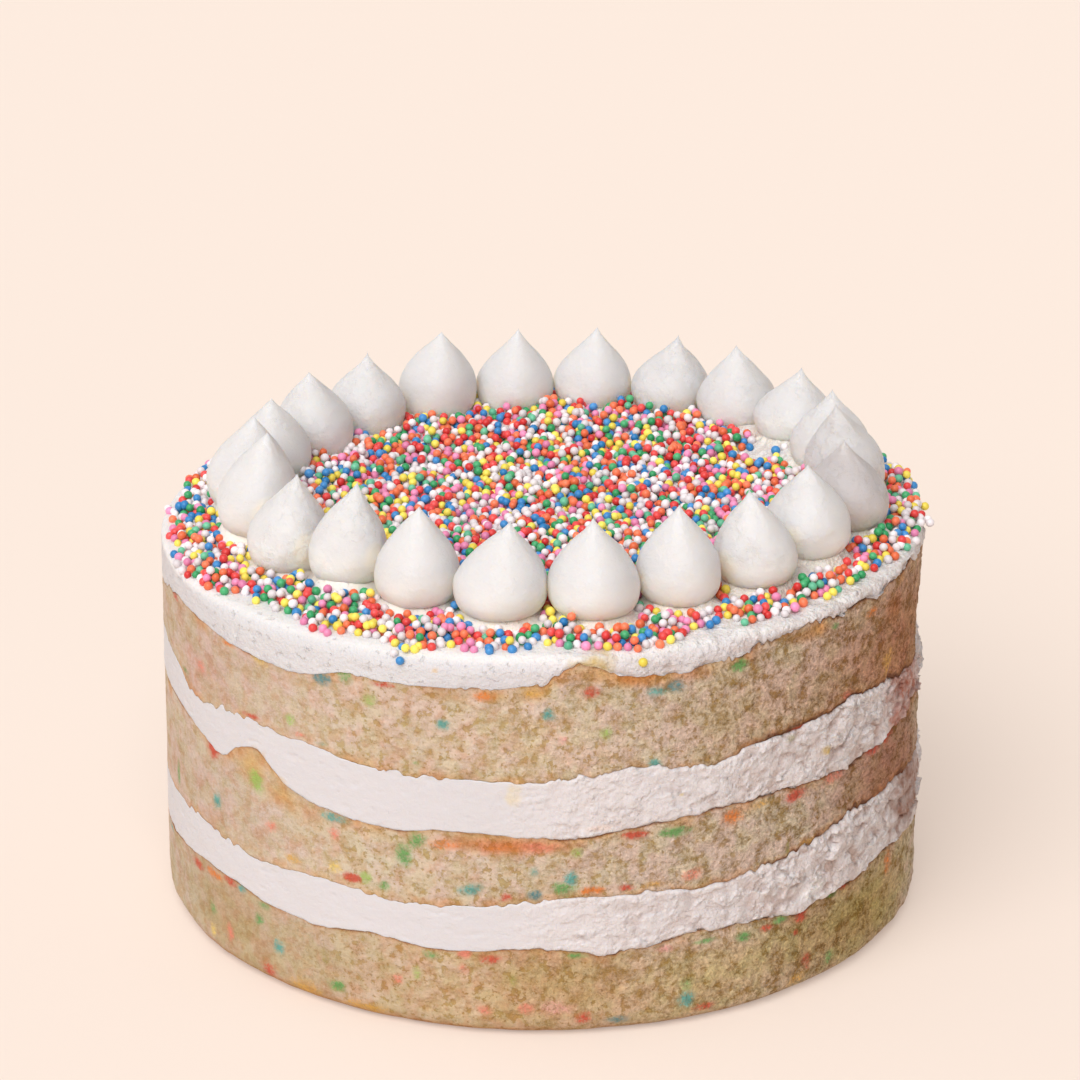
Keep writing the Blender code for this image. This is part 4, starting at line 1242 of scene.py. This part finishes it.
beadShape = {
    "radius": 0.86,
    "unevenSize": 0.05,
    "sunk": 0.40,            # how far a bead presses into the cream
    "insideCount": 4400,
    "outsideCount": 1500,
    "bandEdge": 73.4,        # outermost beads, from the cake's axis
    "twinShare": 0.035,      # beads stuck together in pairs
    "seed": 17,
    "furthest": 75.0,        # beads are dropped this far out at most
    "triesEach": 12,
    "rolls": 10,             # steps that a dropped bead rolls downhill, and the length of the first
    "firstStep": 0.45,
    "heapHeight": 4.2,       # highest bead over the cream, in radii
    "thinFrom": 2.6,         # the outer band thins out this far from its edge
    "oval": 0.07,
    "frosting": (0.35, 2.0, 0.3, 0.7),
    "shader": {"Roughness": 0.38, "Coat Weight": 0.15, "Coat Roughness": 0.3, "Specular IOR Level": 0.4},
}
beadColours = {  # colour and share of the mix
    "White": ((0.783, 0.719, 0.737), 0.28),
    "Red": ((0.746, 0.033, 0.03), 0.12),
    "Orange": ((0.846, 0.155, 0.05), 0.135),
    "Pink": ((0.801, 0.237, 0.437), 0.115),
    "Yellow": ((0.892, 0.701, 0.077), 0.105),
    "Green": ((0.023, 0.346, 0.114), 0.095),
    "Mint": ((0.109, 0.473, 0.273), 0.04),
    "Blue": ((0.016, 0.218, 0.546), 0.10),
}
# Places on top with bare cream, as (x, y, radius)
bareSpots = (
    (45.5, 38.5, 7.0), (48.0, 29.0, 5.5), (50.5, 20.0, 4.5), (40.5, 47.0, 6.5), (32.0, 66.0, 3.0),
    (-60.5, -9.5, 4.0), (-37.5, -36.5, 6.5), (-32.0, -42.0, 4.5), (-46.0, -30.0, 4.0), (48.0, -38.5, 4.5),
    (38.0, -44.5, 4.0), (11.5, -56.5, 4.5), (24.0, -52.0, 2.5), (44.0, 26.0, 5.0),
)
# How far in the outer band's edge lies, as (turn, width of the dip, depth)
bandDips = (
    (26, 5, 5.5), (44, 5, 3.0), (-47, 9, 3.2), (4, 7, 3.2), (-30, 6, 1.2), (-14, 3, 2.0), (66, 6, 2.0),
    (-82, 22, 1.2), (165, 9, 1.6), (205, 8, 1.8),
)
strayBeads = ((-20.0, 74.8, "Blue"), (14.0, 75.5, "Yellow"), (-33, 76.2, "Pink"))


def bandEdgeAt(turn):
    wave = math.radians(turn)
    edge = beadShape["bandEdge"] + 0.5 * math.sin(5 * wave + math.radians(20)) + 0.4 * math.sin(11 * wave)
    edge += 0.9 * float(smoothStep(52, 76, abs((turn + 180) % 360 - 180)))
    for at, width, depth in bandDips:
        off = (turn - at + 180) % 360 - 180
        edge -= depth * math.exp(-(off / width) ** 2)
    return edge


def dropBeads():
    rng = np.random.default_rng(beadShape["seed"])
    reach = 2 * beadShape["radius"]
    cells = {}
    placed = []

    def cellOf(x, y):
        return int(math.floor(x / reach)), int(math.floor(y / reach))

    def neighbours(x, y):
        cx, cy = cellOf(x, y)
        found = [bead for i in (-2, -1, 0, 1, 2) for j in (-2, -1, 0, 1, 2)
                 for bead in cells.get((cx + i, cy + j), ())]
        return np.array([placed[bead] for bead in found]).reshape(-1, 4)

    feet = np.array([[foot[0], foot[1], radius] for foot, radius, _, _ in dollops])

    def restHeight(spots, near, radius):  # where a bead's centre comes to rest over each spot
        distance = np.hypot(spots[:, 0], spots[:, 1])
        rounding = rimRoundAt(turnOf(spots))
        over = np.clip(distance - (cake["topRadius"] - rounding), 0, rounding * 0.98)
        drop = rounding - np.sqrt(rounding ** 2 - over ** 2)
        height = creamLevel(spots[:, 0], spots[:, 1]) - drop + radius - beadShape["sunk"]
        if len(near):
            flat = (spots[:, None, 0] - near[None, :, 0]) ** 2 + (spots[:, None, 1] - near[None, :, 1]) ** 2
            touch = (near[None, :, 3] + radius) ** 2 - flat
            lifted = np.where(touch > 0, near[None, :, 2] + np.sqrt(np.maximum(touch, 0)), 0)
            height = np.maximum(height, lifted.max(1))
        toDollop = np.hypot(spots[:, None, 0] - feet[None, :, 0], spots[:, None, 1] - feet[None, :, 1])
        rise = (height - topHeightAt(spots[:, 0]))[:, None]
        wide = feet[None, :, 2] * np.where(rise < 5, 0.80 + 0.044 * rise, 1.02)
        blocked = (toDollop < wide + radius * 0.9).any(1)
        return np.where(blocked, 999.0, height)

    compass = np.array([(math.cos(a), math.sin(a)) for a in np.arange(8) * math.pi / 4])

    def drop(x, y):
        radius = beadShape["radius"] * (1 + beadShape["unevenSize"] * rng.standard_normal())
        near = neighbours(x, y)
        spot = np.array([x, y])
        height = restHeight(spot[None], near, radius)[0]
        if height > 900:
            return False
        floor = creamLevel(x, y) + radius - beadShape["sunk"]
        step = beadShape["firstStep"]
        for _ in range(beadShape["rolls"]):
            if height < floor + 0.05:
                break
            tries = spot + compass * step
            found = restHeight(tries, near, radius)
            best = found.argmin()
            if found[best] < height - 0.01:
                spot, height = tries[best], found[best]
            else:
                step *= 0.5
                if step < 0.08:
                    break
        if height > creamLevel(*spot) + beadShape["heapHeight"] * beadShape["radius"]:
            return False
        placed.append((spot[0], spot[1], height, radius))
        cells.setdefault(cellOf(*spot), []).append(len(placed) - 1)
        return True

    centre = ring["centre"]
    wanted = {"inside": beadShape["insideCount"], "outside": beadShape["outsideCount"]}
    for zone, count in wanted.items():
        made = tries = 0
        while made < count and tries < count * beadShape["triesEach"]:
            tries += 1
            turn = rng.uniform(0, 360)
            edge = bandEdgeAt(turn)
            distance = beadShape["furthest"] * math.sqrt(rng.random())
            thin = 0.6 * smoothStep(80, 50, abs((turn + 180) % 360 - 180))
            if distance > edge:
                continue
            sparse = smoothStep(beadShape["thinFrom"], 0.0, edge - distance) * thin
            if zone == "outside" and rng.random() < sparse:
                continue
            x, y = distance * math.sin(math.radians(turn)), -distance * math.cos(math.radians(turn))
            fromRing = math.hypot(x - centre[0], y - centre[1])
            if (fromRing < ring["radius"]) != (zone == "inside"):
                continue
            if any(math.hypot(x - bx, y - by) < size * rng.uniform(0.75, 1.1) for bx, by, size in bareSpots):
                continue
            made += drop(x, y)
    return np.array(placed), rng


def ballMesh():
    shape = bmesh.new()
    bmesh.ops.create_icosphere(shape, subdivisions=2, radius=1.0)
    points = np.array([vertex.co for vertex in shape.verts])
    faces = np.array([[vertex.index for vertex in face.verts] for face in shape.faces])
    shape.free()
    return points, faces


def beadLooks(name, colour):
    material, tree, shader = newMaterial("sugarBead" + name, beadShape["shader"])
    paler = tuple(min(1.0, part * 1.12 + 0.05) for part in colour)
    deeper = tuple(part * 0.84 for part in colour)
    feed(shader["Base Color"], mixColours(painted(tree, "tone"), deeper, paler))
    addBump(shader, pattern(mottle, millimetres(tree), *beadShape["frosting"]), 0.15, 0.1)
    arrange(tree)
    return material


def strewBeads():
    placed, rng = dropBeads()
    names = list(beadColours)
    shares = np.array([beadColours[name][1] for name in names])
    chosen = rng.choice(len(names), size=len(placed), p=shares / shares.sum())
    twins = rng.random(len(placed)) < beadShape["twinShare"]
    extra, extraColour = [], []
    for bead, colour in zip(placed[twins], chosen[twins]):
        angle = rng.uniform(0, 2 * math.pi)
        shift = np.array([math.cos(angle), math.sin(angle), 0.25, 0]) * bead[3] * 1.15
        extra.append(bead + shift)
        extraColour.append(colour)
    for turn, height, name in strayBeads:
        at = directions[int(round(turn / 360 * cake["columns"])) % cake["columns"]]
        below = topHeightAt(at[0] * cake["topRadius"]) - height
        rounding = float(rimRoundAt(turn))
        inwards = rounding - math.sqrt(max(rounding ** 2 - max(rounding - below, 0) ** 2, 0))
        spot = at * (cake["topRadius"] + 0.75 - inwards)
        extra.append([spot[0], spot[1], height, beadShape["radius"]])
        extraColour.append(names.index(name))
    placed = np.concatenate([placed, np.array(extra)])
    chosen = np.concatenate([chosen, extraColour])
    ball, ballFaces = ballMesh()
    for index, name in enumerate(names):
        mine = placed[chosen == index]
        count = len(mine)
        spin = rng.standard_normal((count, 4))
        spin /= np.linalg.norm(spin, axis=1)[:, None]
        w, x, y, z = spin.T
        turned = np.stack([
            np.stack([1 - 2 * (y * y + z * z), 2 * (x * y - w * z), 2 * (x * z + w * y)], -1),
            np.stack([2 * (x * y + w * z), 1 - 2 * (x * x + z * z), 2 * (y * z - w * x)], -1),
            np.stack([2 * (x * z - w * y), 2 * (y * z + w * x), 1 - 2 * (x * x + y * y)], -1)], 1)
        stretch = 1 + rng.uniform(-beadShape["oval"], beadShape["oval"], (count, 1, 3))
        shaped = (ball[None] * stretch) * mine[:, None, 3:4]
        points = np.einsum("nij,nkj->nki", turned, shaped) + mine[:, None, :3]
        faces = (ballFaces[None] + (np.arange(count) * len(ball))[:, None, None]).reshape(-1, 3)
        piece = newPiece("beads" + name, points.reshape(-1, 3), faces, beadLooks(name, beadColours[name][0]),
                         "topping")
        paintValue(piece, "tone", np.repeat(rng.random(count), len(ball)))
    print("Sugar beads:", len(placed))


print("Strewing the sugar beads")
strewBeads()


# Floor, light and camera

stageLook = {
    "floor": (0.895, 0.764, 0.676),
    "floorShare": 0.62,      # of its colour that the floor throws back
    "floorGlow": 0.385,      # it gives off some light of its own, which keeps the shadow pale
    "skyBright": 0.42,       # brightness of the surroundings at the front left
    "skyDark": 0.12,         # and opposite, at the back right
    "skyTurn": -70.0,
}
suns = {  # turn, degrees above level, strength, softness, colour
    "key": (-22.0, 48.0, 2.85, 55.0, (1.0, 1.0, 1.0)),        # the main light, from the front left
    "fill": (6.0, 4.0, 0.35, 70.0, (1.0, 0.975, 0.95)),       # broad and level, from the front
    "left": (-128.0, 34.0, 0.45, 90.0, (1.0, 0.94, 0.88)),    # soft light from behind, on both sides
    "right": (128.0, 34.0, 0.65, 90.0, (1.0, 0.94, 0.88)),
}


def addSun(name, turn, height, strength, softness, colour):
    light = bpy.data.lights.new(name, "SUN")
    light.energy = strength
    light.angle = math.radians(softness)
    light.color = colour
    sun = bpy.data.objects.new(name, light)
    angle, rise = math.radians(turn), math.radians(height)
    towards = Vector((math.sin(angle) * math.cos(rise), -math.cos(angle) * math.cos(rise), math.sin(rise)))
    sun.rotation_euler = towards.to_track_quat("Z", "Y").to_euler()
    bpy.context.scene.collection.objects.link(sun)


def buildStage():
    floorMesh = bpy.data.meshes.new("floor")
    floorMesh.from_pydata([(-4, -4, 0), (4, -4, 0), (4, 4, 0), (-4, 4, 0)], [], [(0, 1, 2, 3)])
    floor = bpy.data.objects.new("floor", floorMesh)
    bpy.context.scene.collection.objects.link(floor)
    material = newMaterial("paleFloor", {
        "Roughness": 0.9, "Specular IOR Level": 0.1,
        "Base Color": tuple(stageLook["floorShare"] * part for part in stageLook["floor"]),
        "Emission Color": stageLook["floor"], "Emission Strength": stageLook["floorGlow"]})[0]
    floorMesh.materials.append(material)
    floor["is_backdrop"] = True
    world = bpy.data.worlds.new("studio")
    world.use_nodes = True
    tree = world.node_tree
    background = tree.nodes["Background"].inputs
    feed(background["Color"], (1.0, 1.0, 1.0))
    around = addNode(tree, "ShaderNodeTexCoord").outputs["Generated"]
    turn = math.radians(stageLook["skyTurn"])
    facing = addNode(tree, "ShaderNodeVectorMath", {0: around, 1: (math.sin(turn), -math.cos(turn), 0.0)},
                     operation="DOT_PRODUCT").outputs["Value"]
    spread = addNode(tree, "ShaderNodeMapRange", {"Value": facing, "From Min": -1.0,
                     "To Min": stageLook["skyDark"], "To Max": stageLook["skyBright"]})
    feed(background["Strength"], spread.outputs["Result"])
    arrange(tree)
    bpy.context.scene.world = world
    for name, values in suns.items():
        addSun(name, *values)


cameraView = {
    "lens": 142.786,
    "place": (-0.00036, -0.7922, 0.3790),   # metres
    "tilt": 68.747,
}


def placeCamera():
    lens = bpy.data.cameras.new("camera")
    lens.lens = cameraView["lens"]
    lens.sensor_width = 36.0
    lens.clip_start, lens.clip_end = 0.01, 20.0
    camera = bpy.data.objects.new("camera", lens)
    camera.location = cameraView["place"]
    camera.rotation_euler = (math.radians(cameraView["tilt"]), 0.0, 0.0)
    bpy.context.scene.collection.objects.link(camera)
    bpy.context.scene.camera = camera


print("Setting up the light and camera")
buildStage()
placeCamera()
bpy.context.scene.view_settings.view_transform = "Standard"

low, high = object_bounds()
